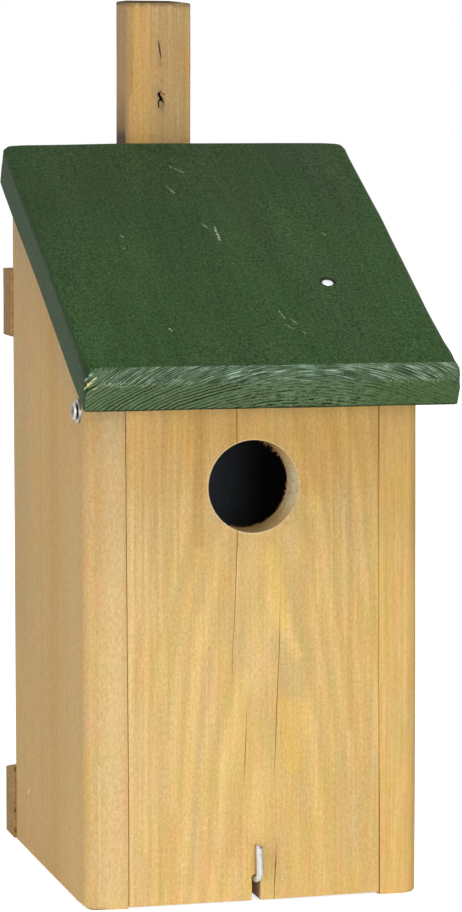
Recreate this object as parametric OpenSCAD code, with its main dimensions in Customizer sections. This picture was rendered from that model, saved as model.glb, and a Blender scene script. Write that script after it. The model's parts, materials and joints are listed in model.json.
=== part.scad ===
// Bird nest box of sawn boards: two side boards carry a floor, a back, a sloping roof and a front
// panel that swings out on a screw and a pin. A hook under the panel keeps it shut. Battens across the back
// carry one upright batten, by which the box hangs. X is across the front, Y runs to the back, Z is up.

/* [Walls] */
// Width across both side boards
box_w = 119; // [90:1:200]
// Depth of the side boards, from the front face to their back edge
box_d = 124; // [95:1:200]
// Height of the side boards at the front edge
front_h = 186.5; // [160:0.5:300]
// Thickness of the side boards
side_t = 15; // [9:0.5:20]
// Thickness of the back board
back_t = 15; // [9:0.5:20]
// Thickness of the floor board
floor_t = 15; // [12:0.5:20]

/* [Roof] */
// Slope of the roof in degrees, down to the front
roof_slope = 27; // [15:1:35]
// Thickness of the roof board
roof_t = 15; // [12:0.5:22]
// How far the roof stands out past each side board
roof_side_lap = 5.5; // [0:0.5:25]
// How far the roof's lower front edge stands out in front of the box
roof_front_lap = 25; // [12:0.5:50]
// How far the roof's lower back edge stops short of the back of the side boards
roof_back_short = 3.5; // [0:0.5:10]
// Radius of the rounded upper front edge
roof_nose_r = 5.5; // [1:0.5:6]

/* [Front panel] */
// Thickness of the front panel
panel_t = 15; // [10:0.5:20]
// Gap between the panel and each side board
panel_side_gap = 0.5; // [0.3:0.1:2]
// Height of the panel's lower edge above the foot of the box
panel_lift = 0.6; // [0.5:0.1:3]
// Gap between the back of the panel and the floor board
panel_back_gap = 0.4; // [0.3:0.1:2]
// Least gap between the top of the swinging panel and the roof
panel_head_gap = 5; // [3:0.5:6]
// Diameter of the entrance hole
hole_d = 32; // [25:1:45]
// Height of the centre of the entrance hole
hole_z = 145; // [110:1:150]

/* [Pivots] */
// Depth of the pivot below the top of the side boards at the front
pivot_drop = 15; // [14:0.5:18]
// Diameter of the screw's shank and of the pin
screw_d = 3.5; // [3:0.1:4.5]
// Length of the shank under the head
screw_l = 31; // [28:0.5:36]
// Diameter of the screw's head
screw_head_d = 5.8; // [5:0.1:8]
// Height of the screw's head
screw_head_h = 2; // [1.2:0.1:3]
// Diameter of the washer
washer_d = 8.2; // [8:0.1:12]
// Thickness of the washer
washer_t = 0.9; // [0.6:0.1:1.5]
// Gap between the washer and the screw's head
washer_gap = 0.2; // [0.1:0.05:0.5]
// Length of the headless pin that is the right pivot
pin_l = 30; // [28:0.5:36]
// Depth of the pin's end below the right board's face
pin_sink = 0.2; // [0:0.1:2]

/* [Hook] */
// Diameter of the hook's wire
hook_d = 2.4; // [2:0.1:3]
// Distance of the hook to the right of the middle
hook_x = 1; // [-20:1:20]
// Height of the hook's shank
hook_z = 8.3; // [7:0.1:8.5]
// Height of the hook's upright arm, from the shank's centre to its tip
hook_arm = 12.7; // [9:0.1:20]
// Gap between the arm and the front of the panel
hook_gap = 0.8; // [0.4:0.1:2]
// Radius of the bend, at the middle of the wire
hook_bend_r = 1.8; // [1.6:0.1:3]
// Depth of the shank's thread in the floor board
hook_bite = 16; // [10:1:30]
// Gap around the shank in the panel's notch
notch_gap = 0.6; // [0.4:0.1:1.5]

/* [Battens] */
// Thickness of the battens
batten_t = 15; // [10:0.5:20]
// Width of the upright batten
hanger_w = 25; // [18:1:40]
// Height of the upright batten
hanger_h = 313.5; // [300:0.5:450]
// Height of the foot of the upper cross batten
upper_batten_z = 190; // [150:1:195]
// Height of the upper cross batten
upper_batten_h = 25; // [15:1:30]
// Height of the lower cross batten
lower_batten_h = 28; // [15:1:40]
// Diameter of the hanging hole in the upright batten
hang_hole_d = 3; // [2.5:0.1:6]
// Depth of the hanging hole below the top of the upright batten
hang_hole_drop = 36; // [15:1:45]

/* [Nails and batten screws] */
// Diameter of the nails' shanks
nail_d = 2.2; // [1.8:0.1:3]
// Length of the nails in the cross battens
nail_l = 40; // [25:1:60]
// Diameter of the nails' heads
nail_head_d = 4.4; // [4:0.1:7]
// Thickness of the nails' heads
nail_head_h = 0.6; // [0.4:0.1:1]
// Length of the nail in the roof
roof_nail_l = 13; // [8:1:14]
// Distance of the roof nail to the right of the middle
roof_nail_x = 32; // [10:1:45]
// Distance of the roof nail up the slope from the roof's front edge
roof_nail_up = 59; // [20:1:120]
// Diameter of the batten screws' shanks
batten_screw_d = 3.5; // [3:0.1:5]
// Length of the batten screws
batten_screw_l = 26; // [20:1:29]
// Diameter of the batten screws' countersunk heads
batten_screw_head_d = 7; // [6:0.1:9]

/* [Hidden] */
$fn = 64;
eps = 1;
hinge_clear = 0.08;
drive_clear = 0.03;
washer_clear = 0.25;
head_sink = 0.3;

inner_w = box_w - 2 * side_t;
panel_w = inner_w - 2 * panel_side_gap;
pivot_y = panel_t / 2;
pivot_z = front_h - pivot_drop;
slope_rise = tan(roof_slope);
// Distance from the pivot to the plane of the roof's underside, square to it
pivot_to_roof = (pivot_drop + pivot_y * slope_rise) * cos(roof_slope);
panel_head = sqrt(pow(pivot_to_roof - panel_head_gap, 2) - pow(pivot_y, 2));
panel_top = pivot_z + panel_head;
floor_front = panel_t + panel_back_gap;
cross_back = box_d + batten_t;
hanger_back = cross_back + batten_t;
hook_arm_y = -hook_gap - hook_d / 2;
notch_r = hook_d / 2 + notch_gap;
roof_w = box_w + 2 * roof_side_lap;
roof_l = (roof_front_lap + box_d - roof_back_short) / cos(roof_slope);
// The rounded nose stands out past the lower front edge by this much
nose_reach = roof_t * sin(roof_slope) - roof_nose_r * (cos(roof_slope) + sin(roof_slope) - 1);
middle_y = (hanger_back - roof_front_lap - nose_reach) / 2;

pine = [0.85, 0.70, 0.48];
pine_edge = [0.72, 0.56, 0.36];
green_paint = [0.24, 0.36, 0.22];
zinc = [0.72, 0.74, 0.76];

// The origin is under the middle of the whole outline, at the foot of the box
module place() {
    translate([0, -middle_y, 0]) children();
}

module board(low, high) {
    translate(low) cube(high - low);
}

// A rod along +Y, drawn from its mouth inwards
module rod_y(x, y, z, r, l) {
    translate([x, y, z]) rotate([-90, 0, 0]) cylinder(r = r, h = l);
}

// A rod along +X
module rod_x(x, y, z, r, l) {
    translate([x, y, z]) rotate([0, 90, 0]) cylinder(r = r, h = l);
}

module side_board(side) {
    difference() {
        translate([side < 0 ? -box_w / 2 : box_w / 2 - side_t, 0, 0])
            rotate([90, 0, 90])
                linear_extrude(side_t)
                    polygon([[0, 0], [box_d, 0], [box_d, front_h + box_d * slope_rise], [0, front_h]]);
        rod_x(side * (box_w / 2 - side_t / 2) - side_t, pivot_y, pivot_z,
              screw_d / 2 + hinge_clear, 2 * side_t);
        for (z = [upper_batten_z + upper_batten_h / 2, lower_batten_h / 2])
            rod_y(side * (box_w - side_t) / 2, cross_back - nail_l, z, nail_d / 2 + drive_clear, nail_l);
    }
}

module left_side_board() {
    color(pine) place() side_board(-1);
}

module right_side_board() {
    color(pine) place() side_board(1);
}

module back_board() {
    color(pine) place()
        translate([-inner_w / 2, 0, 0])
            rotate([90, 0, 90])
                linear_extrude(inner_w)
                    polygon([
                        [box_d - back_t, 0], [box_d, 0],
                        [box_d, front_h + box_d * slope_rise],
                        [box_d - back_t, front_h + (box_d - back_t) * slope_rise]
                    ]);
}

module floor_board() {
    color(pine) place()
        difference() {
            board([-inner_w / 2, floor_front, 0], [inner_w / 2, box_d - back_t, floor_t]);
            rod_y(hook_x, floor_front - eps, hook_z, hook_d / 2 + hinge_clear, eps + hook_bite);
        }
}

// The roof lies in its own frame: X across, Y up the slope, Z square to the board
module on_roof() {
    translate([0, -roof_front_lap, front_h - roof_front_lap * slope_rise])
        rotate([roof_slope, 0, 0]) children();
}

module roof_outline() {
    difference() {
        square([roof_l, roof_t]);
        translate([0, roof_t - roof_nose_r]) square(roof_nose_r);
    }
    translate([roof_nose_r, roof_t - roof_nose_r]) circle(roof_nose_r);
}

module roof_board() {
    color(green_paint) place()
        on_roof()
            difference() {
                translate([-roof_w / 2, 0, 0])
                    rotate([90, 0, 90])
                        linear_extrude(roof_w) roof_outline();
                translate([roof_nail_x, roof_nail_up, roof_t]) nail_hole(roof_nail_l);
            }
}

// A nail stands head up with the top of its head at the origin
module nail(l) {
    translate([0, 0, -nail_head_h]) cylinder(d = nail_head_d, h = nail_head_h);
    translate([0, 0, -l]) cylinder(d = nail_d, h = l - nail_head_h);
}

module nail_hole(l) {
    translate([0, 0, -nail_head_h]) cylinder(d = nail_head_d + 2 * drive_clear, h = nail_head_h + eps);
    translate([0, 0, -l]) cylinder(d = nail_d + 2 * drive_clear, h = l);
}

module roof_nail() {
    color(zinc) place()
        on_roof() translate([roof_nail_x, roof_nail_up, roof_t]) nail(roof_nail_l);
}

module at_cross_nail(side, z) {
    translate([side * (box_w - side_t) / 2, cross_back, z]) rotate([-90, 0, 0]) children();
}

module at_batten_screw(z) {
    translate([0, hanger_back - head_sink, z]) rotate([-90, 0, 0]) children();
}

module batten_screw() {
    head_h = (batten_screw_head_d - batten_screw_d) / 2;
    translate([0, 0, -head_h]) cylinder(d1 = batten_screw_d, d2 = batten_screw_head_d, h = head_h);
    translate([0, 0, -batten_screw_l]) cylinder(d = batten_screw_d, h = batten_screw_l - head_h);
}

module batten_screw_hole() {
    d = batten_screw_d + 2 * drive_clear;
    head_d = batten_screw_head_d + 2 * drive_clear;
    head_h = (head_d - d) / 2;
    translate([0, 0, -head_h]) cylinder(d1 = d, d2 = head_d, h = head_h);
    cylinder(d = head_d, h = head_sink + eps);
    translate([0, 0, -batten_screw_l]) cylinder(d = d, h = batten_screw_l);
}

module cross_batten(z, h) {
    difference() {
        board([-box_w / 2, box_d, z], [box_w / 2, cross_back, z + h]);
        for (side = [-1, 1]) at_cross_nail(side, z + h / 2) nail_hole(nail_l);
        at_batten_screw(z + h / 2) batten_screw_hole();
    }
}

module upper_cross_batten() {
    color(pine_edge) place() cross_batten(upper_batten_z, upper_batten_h);
}

module lower_cross_batten() {
    color(pine_edge) place() cross_batten(0, lower_batten_h);
}

module hanging_batten() {
    color(pine) place()
        difference() {
            board([-hanger_w / 2, cross_back, 0], [hanger_w / 2, hanger_back, hanger_h]);
            rod_y(0, cross_back - eps, hanger_h - hang_hole_drop, hang_hole_d / 2, batten_t + 2 * eps);
            at_batten_screw(upper_batten_z + upper_batten_h / 2) batten_screw_hole();
            at_batten_screw(lower_batten_h / 2) batten_screw_hole();
        }
}

module upper_nail_left() {
    color(zinc) place() at_cross_nail(-1, upper_batten_z + upper_batten_h / 2) nail(nail_l);
}

module upper_nail_right() {
    color(zinc) place() at_cross_nail(1, upper_batten_z + upper_batten_h / 2) nail(nail_l);
}

module lower_nail_left() {
    color(zinc) place() at_cross_nail(-1, lower_batten_h / 2) nail(nail_l);
}

module lower_nail_right() {
    color(zinc) place() at_cross_nail(1, lower_batten_h / 2) nail(nail_l);
}

module upper_batten_screw() {
    color(zinc) place() at_batten_screw(upper_batten_z + upper_batten_h / 2) batten_screw();
}

module lower_batten_screw() {
    color(zinc) place() at_batten_screw(lower_batten_h / 2) batten_screw();
}

// At the outer face of a side board, with +Z pointing out of the box along the pivot
module at_pivot(side) {
    translate([side * box_w / 2, pivot_y, pivot_z]) rotate([0, side * 90, 0]) children();
}

module washer_left() {
    color(zinc) place() at_pivot(-1)
        difference() {
            cylinder(d = washer_d, h = washer_t);
            translate([0, 0, -eps]) cylinder(d = screw_d + 2 * washer_clear, h = washer_t + 2 * eps);
        }
}

module pivot_screw_left() {
    color(zinc) place() at_pivot(-1)
        translate([0, 0, washer_t + washer_gap]) {
            cylinder(d = screw_head_d, h = screw_head_h);
            translate([0, 0, -screw_l]) cylinder(d = screw_d, h = screw_l);
        }
}

module pivot_pin_right() {
    color(zinc) place() at_pivot(1)
        translate([0, 0, -pin_sink - pin_l]) cylinder(d = screw_d, h = pin_l);
}

// The driven end of each pivot, measured out from the side board's outer face
function pivot_end(side) = side < 0 ? washer_t + washer_gap - screw_l : -pin_sink - pin_l;

module front_panel() {
    color(pine) place()
        difference() {
            board([-panel_w / 2, 0, panel_lift], [panel_w / 2, panel_t, panel_top]);
            rod_y(0, -eps, hole_z, hole_d / 2, panel_t + 2 * eps);
            rod_y(hook_x, -eps, hook_z, notch_r, panel_t + 2 * eps);
            board([hook_x - notch_r, -eps, panel_lift - eps], [hook_x + notch_r, panel_t + eps, hook_z]);
            for (side = [-1, 1])
                at_pivot(side)
                    translate([0, 0, pivot_end(side)])
                        cylinder(d = screw_d + 2 * drive_clear, h = box_w / 2);
        }
}

module latch_hook() {
    color(zinc) place()
        translate([hook_x, hook_arm_y, hook_z]) {
            translate([0, hook_bend_r, 0])
                rotate([-90, 0, 0])
                    cylinder(d = hook_d, h = floor_front + hook_bite - hook_arm_y - hook_bend_r - eps);
            translate([0, hook_bend_r, hook_bend_r])
                rotate([180, 90, 0])
                    rotate_extrude(angle = 90)
                        translate([hook_bend_r, 0]) circle(d = hook_d);
            translate([0, 0, hook_bend_r]) cylinder(d = hook_d, h = hook_arm - hook_bend_r);
        }
}

left_side_board();
right_side_board();
back_board();
floor_board();
roof_board();
roof_nail();
upper_cross_batten();
lower_cross_batten();
hanging_batten();
upper_nail_left();
upper_nail_right();
lower_nail_left();
lower_nail_right();
upper_batten_screw();
lower_batten_screw();
washer_left();
front_panel();
pivot_screw_left();
pivot_pin_right();
latch_hook();
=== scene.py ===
"""Bird nest box: the wood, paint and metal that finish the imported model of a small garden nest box."""

import json
import math
import random

import bmesh
import bpy
from bpy.props import FloatProperty, FloatVectorProperty, PointerProperty
from mathutils import Matrix, Vector, noise


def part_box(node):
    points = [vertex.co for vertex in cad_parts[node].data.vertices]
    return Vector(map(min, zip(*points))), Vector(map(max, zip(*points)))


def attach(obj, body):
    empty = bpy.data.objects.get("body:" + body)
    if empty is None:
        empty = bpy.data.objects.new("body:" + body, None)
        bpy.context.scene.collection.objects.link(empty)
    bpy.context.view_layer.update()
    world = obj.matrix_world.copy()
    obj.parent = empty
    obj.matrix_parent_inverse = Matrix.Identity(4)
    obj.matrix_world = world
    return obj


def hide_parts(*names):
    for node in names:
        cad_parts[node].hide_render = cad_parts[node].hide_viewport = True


bl_info = {
    "name": "Nest box",
    "version": (1, 0, 0),
    "blender": (4, 5, 0),
    "location": "3D View > Sidebar > Nest box",
    "description": "Models and finishes a wooden bird nest box",
    "category": "Object",
}

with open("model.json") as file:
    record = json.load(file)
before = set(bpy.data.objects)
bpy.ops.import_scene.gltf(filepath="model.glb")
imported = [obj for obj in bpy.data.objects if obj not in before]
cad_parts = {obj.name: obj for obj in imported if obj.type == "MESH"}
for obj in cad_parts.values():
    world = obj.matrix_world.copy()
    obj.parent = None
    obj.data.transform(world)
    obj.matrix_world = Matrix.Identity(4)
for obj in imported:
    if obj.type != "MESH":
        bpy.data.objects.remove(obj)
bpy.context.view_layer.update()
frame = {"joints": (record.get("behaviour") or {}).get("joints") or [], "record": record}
MM = 0.001
BOARD = 15 * MM
# The radii of the screws' and nails' shanks
SCREW_SHANK, NAIL_SHANK = 1.75 * MM, 1.1 * MM
# Shares of what the shaders take as full strength
WOOD_SHEEN = 0.12
STEEL_METALNESS = 0.92
# Places in mm of the faces that the streaks in the wood lie on
FRONT_FACE, HANGER_FACE, LEFT_FACE, RIGHT_EDGE = -62, 77, -60, 57.5
JOINTS = {joint["name"]: joint for joint in frame["joints"]}
OPENINGS = {opening["name"]: opening["box_m"] for opening in frame["record"]["physics"]["openings"]}


def tint(red, green, blue):
    """A colour given by its screen values from 0 to 255, as the linear values that a shader takes."""
    return tuple(
        value / 255 / 12.92 if value <= 10 else ((value / 255 + 0.055) / 1.055) ** 2.4
        for value in (red, green, blue)
    )


# ---------------------------------------------------------------- settings


class NestBoxTimber(bpy.types.PropertyGroup):
    """Sizes of the worn and machined edges of the boards."""

    front_arris: FloatProperty(
        name="Front arris",
        description="Radius of the outer front edge of each side board",
        default=4.2 * MM,
        unit="LENGTH",
    )
    board_arris: FloatProperty(
        name="Board arris",
        description="Radius of the other edges of the planed boards",
        default=0.6 * MM,
        unit="LENGTH",
    )
    seam_close: FloatProperty(
        name="Seam close",
        description="How much each side of the panel's two seams is closed up",
        default=0.21 * MM,
        unit="LENGTH",
    )
    seam_arris: FloatProperty(
        name="Seam arris",
        description="Rounding of the edges along the panel's two seams",
        default=0.22 * MM,
        unit="LENGTH",
    )
    wobble: FloatProperty(
        name="Wobble",
        description="How far a sawn face strays from flat",
        default=0.12 * MM,
        unit="LENGTH",
    )
    roof_slope: FloatProperty(
        name="Roof slope",
        description="Slope of the roof, down to the front",
        default=math.radians(27),
        subtype="ANGLE",
    )
    nose_drop: FloatProperty(
        name="Nose drop",
        description="How far the roof's rounded nose reaches down the front end",
        default=5.6 * MM,
        unit="LENGTH",
    )
    nose_back: FloatProperty(
        name="Nose depth",
        description="How far the roof's rounded nose reaches back on the top",
        default=3.6 * MM,
        unit="LENGTH",
    )
    roof_arris: FloatProperty(
        name="Roof arris",
        description="Radius of the upper side edges of the roof",
        default=2.4 * MM,
        unit="LENGTH",
    )
    roof_corner: FloatProperty(
        name="Roof corner",
        description="Radius of the roof's back corners seen from above",
        default=3.6 * MM,
        unit="LENGTH",
    )
    hole_radius: FloatProperty(
        name="Hole radius",
        description="Radius of the entrance hole",
        default=16 * MM,
        unit="LENGTH",
    )
    hook_wire: FloatProperty(
        name="Hook wire",
        description="Diameter of the hook's wire",
        default=2.4 * MM,
        unit="LENGTH",
    )


class NestBoxColours(bpy.types.PropertyGroup):
    """Colours of the wood and the paint."""

    pine: FloatVectorProperty(
        name="Pine",
        description="Spring wood of the planed front",
        default=tint(224, 188, 123),
        subtype="COLOR",
    )
    pine_ring: FloatVectorProperty(
        name="Pine ring",
        description="Summer wood of the planed front",
        default=tint(241, 204, 136),
        subtype="COLOR",
    )
    right: FloatVectorProperty(
        name="Right board",
        description="Spring wood of the right side board",
        default=tint(229, 189, 115),
        subtype="COLOR",
    )
    right_ring: FloatVectorProperty(
        name="Right board ring",
        description="Summer wood of the right side board",
        default=tint(239, 200, 129),
        subtype="COLOR",
    )
    side: FloatVectorProperty(
        name="Left board",
        description="Spring wood of the left side board",
        default=tint(222, 186, 124),
        subtype="COLOR",
    )
    side_ring: FloatVectorProperty(
        name="Left board ring",
        description="Summer wood of the left side board",
        default=tint(212, 172, 112),
        subtype="COLOR",
    )
    hanger: FloatVectorProperty(
        name="Hanging batten",
        description="Spring wood of the hanging batten",
        default=tint(197, 161, 107),
        subtype="COLOR",
    )
    hanger_ring: FloatVectorProperty(
        name="Hanging batten ring",
        description="Summer wood of the hanging batten",
        default=tint(182, 146, 94),
        subtype="COLOR",
    )
    rough: FloatVectorProperty(
        name="Rough wood",
        description="Spring wood of the sawn boards and battens",
        default=tint(198, 160, 98),
        subtype="COLOR",
    )
    rough_ring: FloatVectorProperty(
        name="Rough ring",
        description="Summer wood of the sawn boards and battens",
        default=tint(160, 120, 74),
        subtype="COLOR",
    )
    paint: FloatVectorProperty(
        name="Paint",
        description="Green paint on the top of the roof",
        default=tint(38, 62, 28),
        subtype="COLOR",
    )
    paint_bright: FloatVectorProperty(
        name="Bright paint",
        description="Brighter patches of the paint",
        default=tint(45, 69, 33),
        subtype="COLOR",
    )
    paint_dull: FloatVectorProperty(
        name="Dull paint",
        description="Duller and browner patches of the paint",
        default=tint(50, 60, 42),
        subtype="COLOR",
    )
    paint_end: FloatVectorProperty(
        name="Paint on end grain",
        description="Green paint on the roof's end grain",
        default=tint(96, 121, 82),
        subtype="COLOR",
    )
    paint_nose: FloatVectorProperty(
        name="Paint on the nose",
        description="Worn green paint on the rounded nose",
        default=tint(77, 103, 75),
        subtype="COLOR",
    )
    paint_side: FloatVectorProperty(
        name="Paint on the sides",
        description="Darker paint on the roof's side edges",
        default=tint(35, 57, 27),
        subtype="COLOR",
    )


class NestBoxStudio(bpy.types.PropertyGroup):
    """The camera and the lamps."""

    camera_place: FloatVectorProperty(
        name="Camera place",
        description="Where the camera stands",
        default=(-0.3046, -1.1996, 0.2749),
        subtype="TRANSLATION",
        unit="LENGTH",
    )
    camera_turn: FloatProperty(
        name="Camera turn",
        description="How far the camera looks round to the right of the box's depth",
        default=math.radians(14.61),
        subtype="ANGLE",
    )
    camera_dip: FloatProperty(
        name="Camera dip",
        description="How far the camera looks down",
        default=math.radians(5.79),
        subtype="ANGLE",
    )
    camera_roll: FloatProperty(
        name="Camera roll",
        description="How far the camera leans to its left",
        default=math.radians(0.11),
        subtype="ANGLE",
    )
    lens: FloatProperty(
        name="Lens",
        description="Focal length in millimetres on a sensor 36 mm high",
        default=136.5,
        min=20,
        max=400,
    )
    key_power: FloatProperty(
        name="Key power",
        description="Power of the large soft lamp in front, in watts",
        default=11.4,
        min=0,
    )
    fill_power: FloatProperty(
        name="Fill power",
        description="Power of the soft lamp on the left, in watts",
        default=10.2,
        min=0,
    )
    top_power: FloatProperty(
        name="Top lamp",
        description="Power of the lamp above, whose shadow the roof throws on the front",
        default=13.5,
        min=0,
        subtype="POWER",
        unit="POWER",
    )
    sky: FloatProperty(
        name="Sky",
        description="Strength of the light that comes from all round",
        default=0.15,
        min=0,
        max=1,
    )


def tinged(colour, red, green, blue):
    """A colour with each part of its light scaled."""
    return (colour[0] * red, colour[1] * green, colour[2] * blue)


def timber():
    """The sizes that can be set in the panel."""
    return bpy.context.scene.nest_box_timber


def colours():
    """The colours that can be set in the panel."""
    return bpy.context.scene.nest_box_colours


def studio():
    """The camera and lamps that can be set in the panel."""
    return bpy.context.scene.nest_box_studio


# ---------------------------------------------------------------- mesh tools


def bisect(bm, axis, places):
    """Cuts every face by planes square to an axis."""
    normal = Vector((0, 0, 0))
    normal[axis] = 1
    for place in places:
        bmesh.ops.bisect_plane(
            bm,
            geom=bm.verts[:] + bm.edges[:] + bm.faces[:],
            dist=1e-7,
            plane_co=normal * place,
            plane_no=normal,
        )


def cut_places(low, high, low_round, high_round, spacing, steps=3):
    """Where a length is cut: close together over its rounded ends, evenly between them."""
    bends = [1 - math.tan(math.radians(45) * step / steps) for step in range(steps)]
    start, stop = low + low_round, high - high_round
    count = max(1, round((stop - start) / spacing))
    return (
        [low + low_round * bend for bend in bends[1:]]
        + [start + (stop - start) * step / count for step in range(count + 1)]
        + [high - high_round * bend for bend in bends[1:]]
    )


def box_mesh(low, high):
    """A bmesh block from its low corner to its high one."""
    bm = bmesh.new()
    bmesh.ops.create_cube(bm, size=1)
    size = Vector(high) - Vector(low)
    bmesh.ops.scale(bm, vec=size, verts=bm.verts)
    bmesh.ops.translate(bm, vec=Vector(low) + size / 2, verts=bm.verts)
    return bm


def round_off(bm, low, high, radii_at):
    """Rounds the arrises of a block. radii_at gives, for a place, the radii along X, Y and Z there."""
    for vert in bm.verts:
        radii = radii_at(vert.co)
        core = Vector(
            min(max(value, start + radius), stop - radius)
            for value, start, stop, radius in zip(vert.co, low, high, radii)
        )
        out = Vector((value - kept) / radius for value, kept, radius in zip(vert.co, core, radii))
        if out.length > 1:
            vert.co = core + Vector(
                step * radius / out.length for step, radius in zip(out, radii)
            )


def waver(bm, amounts, size, seed):
    """Moves a mesh a little in slow waves, as sawn and planed boards have."""
    # Without a seed of its own the noise would differ from run to run
    noise.seed_set(1)
    for vert in bm.verts:
        wave = noise.noise_vector(vert.co / size + Vector((seed, 0, 0)))
        vert.co += Vector(step * amount for step, amount in zip(wave, amounts))


def plank(low, high, arris, spacing, seed):
    """A board with rounded arrises and slightly wavy faces."""
    bm = box_mesh(low, high)
    for axis in range(3):
        bisect(bm, axis, cut_places(low[axis], high[axis], arris, arris, spacing))
    round_off(bm, low, high, lambda place: (arris, arris, arris))
    waver(bm, [timber().wobble] * 3, 30 * MM, seed)
    return bm


def trim_to_roof(bm, high):
    """Cuts a board's top along the roof's underside, which meets its upper back edge."""
    slope = timber().roof_slope
    cut = bmesh.ops.bisect_plane(
        bm,
        geom=bm.verts[:] + bm.edges[:] + bm.faces[:],
        dist=1e-7,
        plane_co=(0, high.y, high.z),
        plane_no=(0, -math.sin(slope), math.cos(slope)),
        clear_outer=True,
    )
    rim = [item for item in cut["geom_cut"] if isinstance(item, bmesh.types.BMEdge)]
    bmesh.ops.contextual_create(bm, geom=rim)
    bmesh.ops.recalc_face_normals(bm, faces=bm.faces)


def ramp(value, start, stop):
    """Rises evenly from 0 at start to 1 at stop, which may lie below start."""
    return min(1, max(0, (value - start) / (stop - start)))


def sweep(bm, sections):
    """A closed solid through a row of sections, each with the same number of corners."""
    face = bm.faces.new([bm.verts.new(place) for place in sections[0]])
    for section in sections[1:]:
        made = bmesh.ops.extrude_face_region(bm, geom=[face])["geom"]
        if section is not sections[1]:
            bmesh.ops.delete(bm, geom=[face], context="FACES_ONLY")
        face = next(item for item in made if isinstance(item, bmesh.types.BMFace))
        for vert, place in zip(face.verts, section):
            vert.co = place
    bmesh.ops.recalc_face_normals(bm, faces=bm.faces)


def lathe(profile, steps=48):
    """A solid turned about Z from a closed outline of (radius, height) points."""
    bm = bmesh.new()
    verts = [bm.verts.new((radius, 0, height)) for radius, height in profile]
    edges = [bm.edges.new(pair) for pair in zip(verts, verts[1:] + verts[:1])]
    bmesh.ops.spin(
        bm,
        geom=verts + edges,
        axis=(0, 0, 1),
        cent=(0, 0, 0),
        angle=2 * math.pi,
        steps=steps,
        use_merge=True,
    )
    bmesh.ops.remove_doubles(bm, verts=bm.verts, dist=1e-6)
    bmesh.ops.dissolve_degenerate(bm, dist=1e-7, edges=bm.edges)
    bmesh.ops.delete(bm, geom=[edge for edge in bm.edges if edge.is_wire], context="EDGES")
    bmesh.ops.recalc_face_normals(bm, faces=bm.faces)
    return bm


def axis_place(centre, axis):
    """A frame whose Z runs along the axis, at a centre."""
    return Matrix.Translation(centre) @ Vector(axis).to_track_quat("Z", "Y").to_matrix().to_4x4()


def drill(radius, start, stop, place, steps=32):
    """A straight round cutter along a frame's Z, from start to stop."""
    bm = lathe([(0, start), (radius, start), (radius, stop), (0, stop)], steps)
    bm.transform(place)
    return bm


def arc(centre, radius, start, stop, steps):
    """Points along an arc in a plane, angles in degrees."""
    angles = [math.radians(start + (stop - start) * step / steps) for step in range(steps + 1)]
    return [(centre[0] + radius * math.cos(a), centre[1] + radius * math.sin(a)) for a in angles]


def loose_object(name, bm):
    """Turns a bmesh into an object in the scene."""
    mesh = bpy.data.meshes.new(name)
    bm.to_mesh(mesh)
    bm.free()
    piece = bpy.data.objects.new(name, mesh)
    bpy.context.scene.collection.objects.link(piece)
    return piece


def carve(piece, cutters):
    """Takes the shapes of closed bmeshes out of a piece, whose faces are made flat first."""
    flat = bmesh.new()
    flat.from_mesh(piece.data)
    bmesh.ops.triangulate(flat, faces=flat.faces)
    flat.to_mesh(piece.data)
    flat.free()
    tools = [loose_object("cutter", cutter) for cutter in cutters]
    for tool in tools:
        cut = piece.modifiers.new("cut", "BOOLEAN")
        cut.operation = "DIFFERENCE"
        cut.solver = "EXACT"
        cut.object = tool
    graph = bpy.context.evaluated_depsgraph_get()
    carved = bpy.data.meshes.new_from_object(piece.evaluated_get(graph))
    piece.modifiers.clear()
    piece.data = carved
    for tool in tools:
        bpy.data.objects.remove(tool)


def finish_piece(piece, body, material, stands_for=(), sharp=32):
    """Gives a piece its shading and its material, hangs it on the body it rides on and hides the parts it
    stands for.
    """
    piece.data.materials.clear()
    piece.data.materials.append(material)
    piece.data.shade_smooth()
    piece.data.set_sharp_from_angle(angle=math.radians(sharp))
    even = piece.modifiers.new("even shading", "WEIGHTED_NORMAL")
    even.keep_sharp = True
    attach(piece, body)
    if stands_for:
        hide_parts(*stands_for)


# ---------------------------------------------------------------- shader tools


class Wire:
    """A socket that can stand in a sum: each operator, and abs, adds its Math node."""

    def __init__(self, recipe, socket):
        self.recipe = recipe
        self.socket = socket

    def __add__(self, other):
        return self.recipe.math("ADD", self, other)

    def __sub__(self, other):
        return self.recipe.math("SUBTRACT", self, other)

    def __rsub__(self, other):
        return self.recipe.math("SUBTRACT", other, self)

    def __mul__(self, other):
        return self.recipe.math("MULTIPLY", self, other)

    def __truediv__(self, other):
        return self.recipe.math("DIVIDE", self, other)

    def __pow__(self, other):
        return self.recipe.math("POWER", self, other)

    def __abs__(self):
        return self.recipe.math("ABSOLUTE", self)

    __radd__ = __add__
    __rmul__ = __mul__


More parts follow.
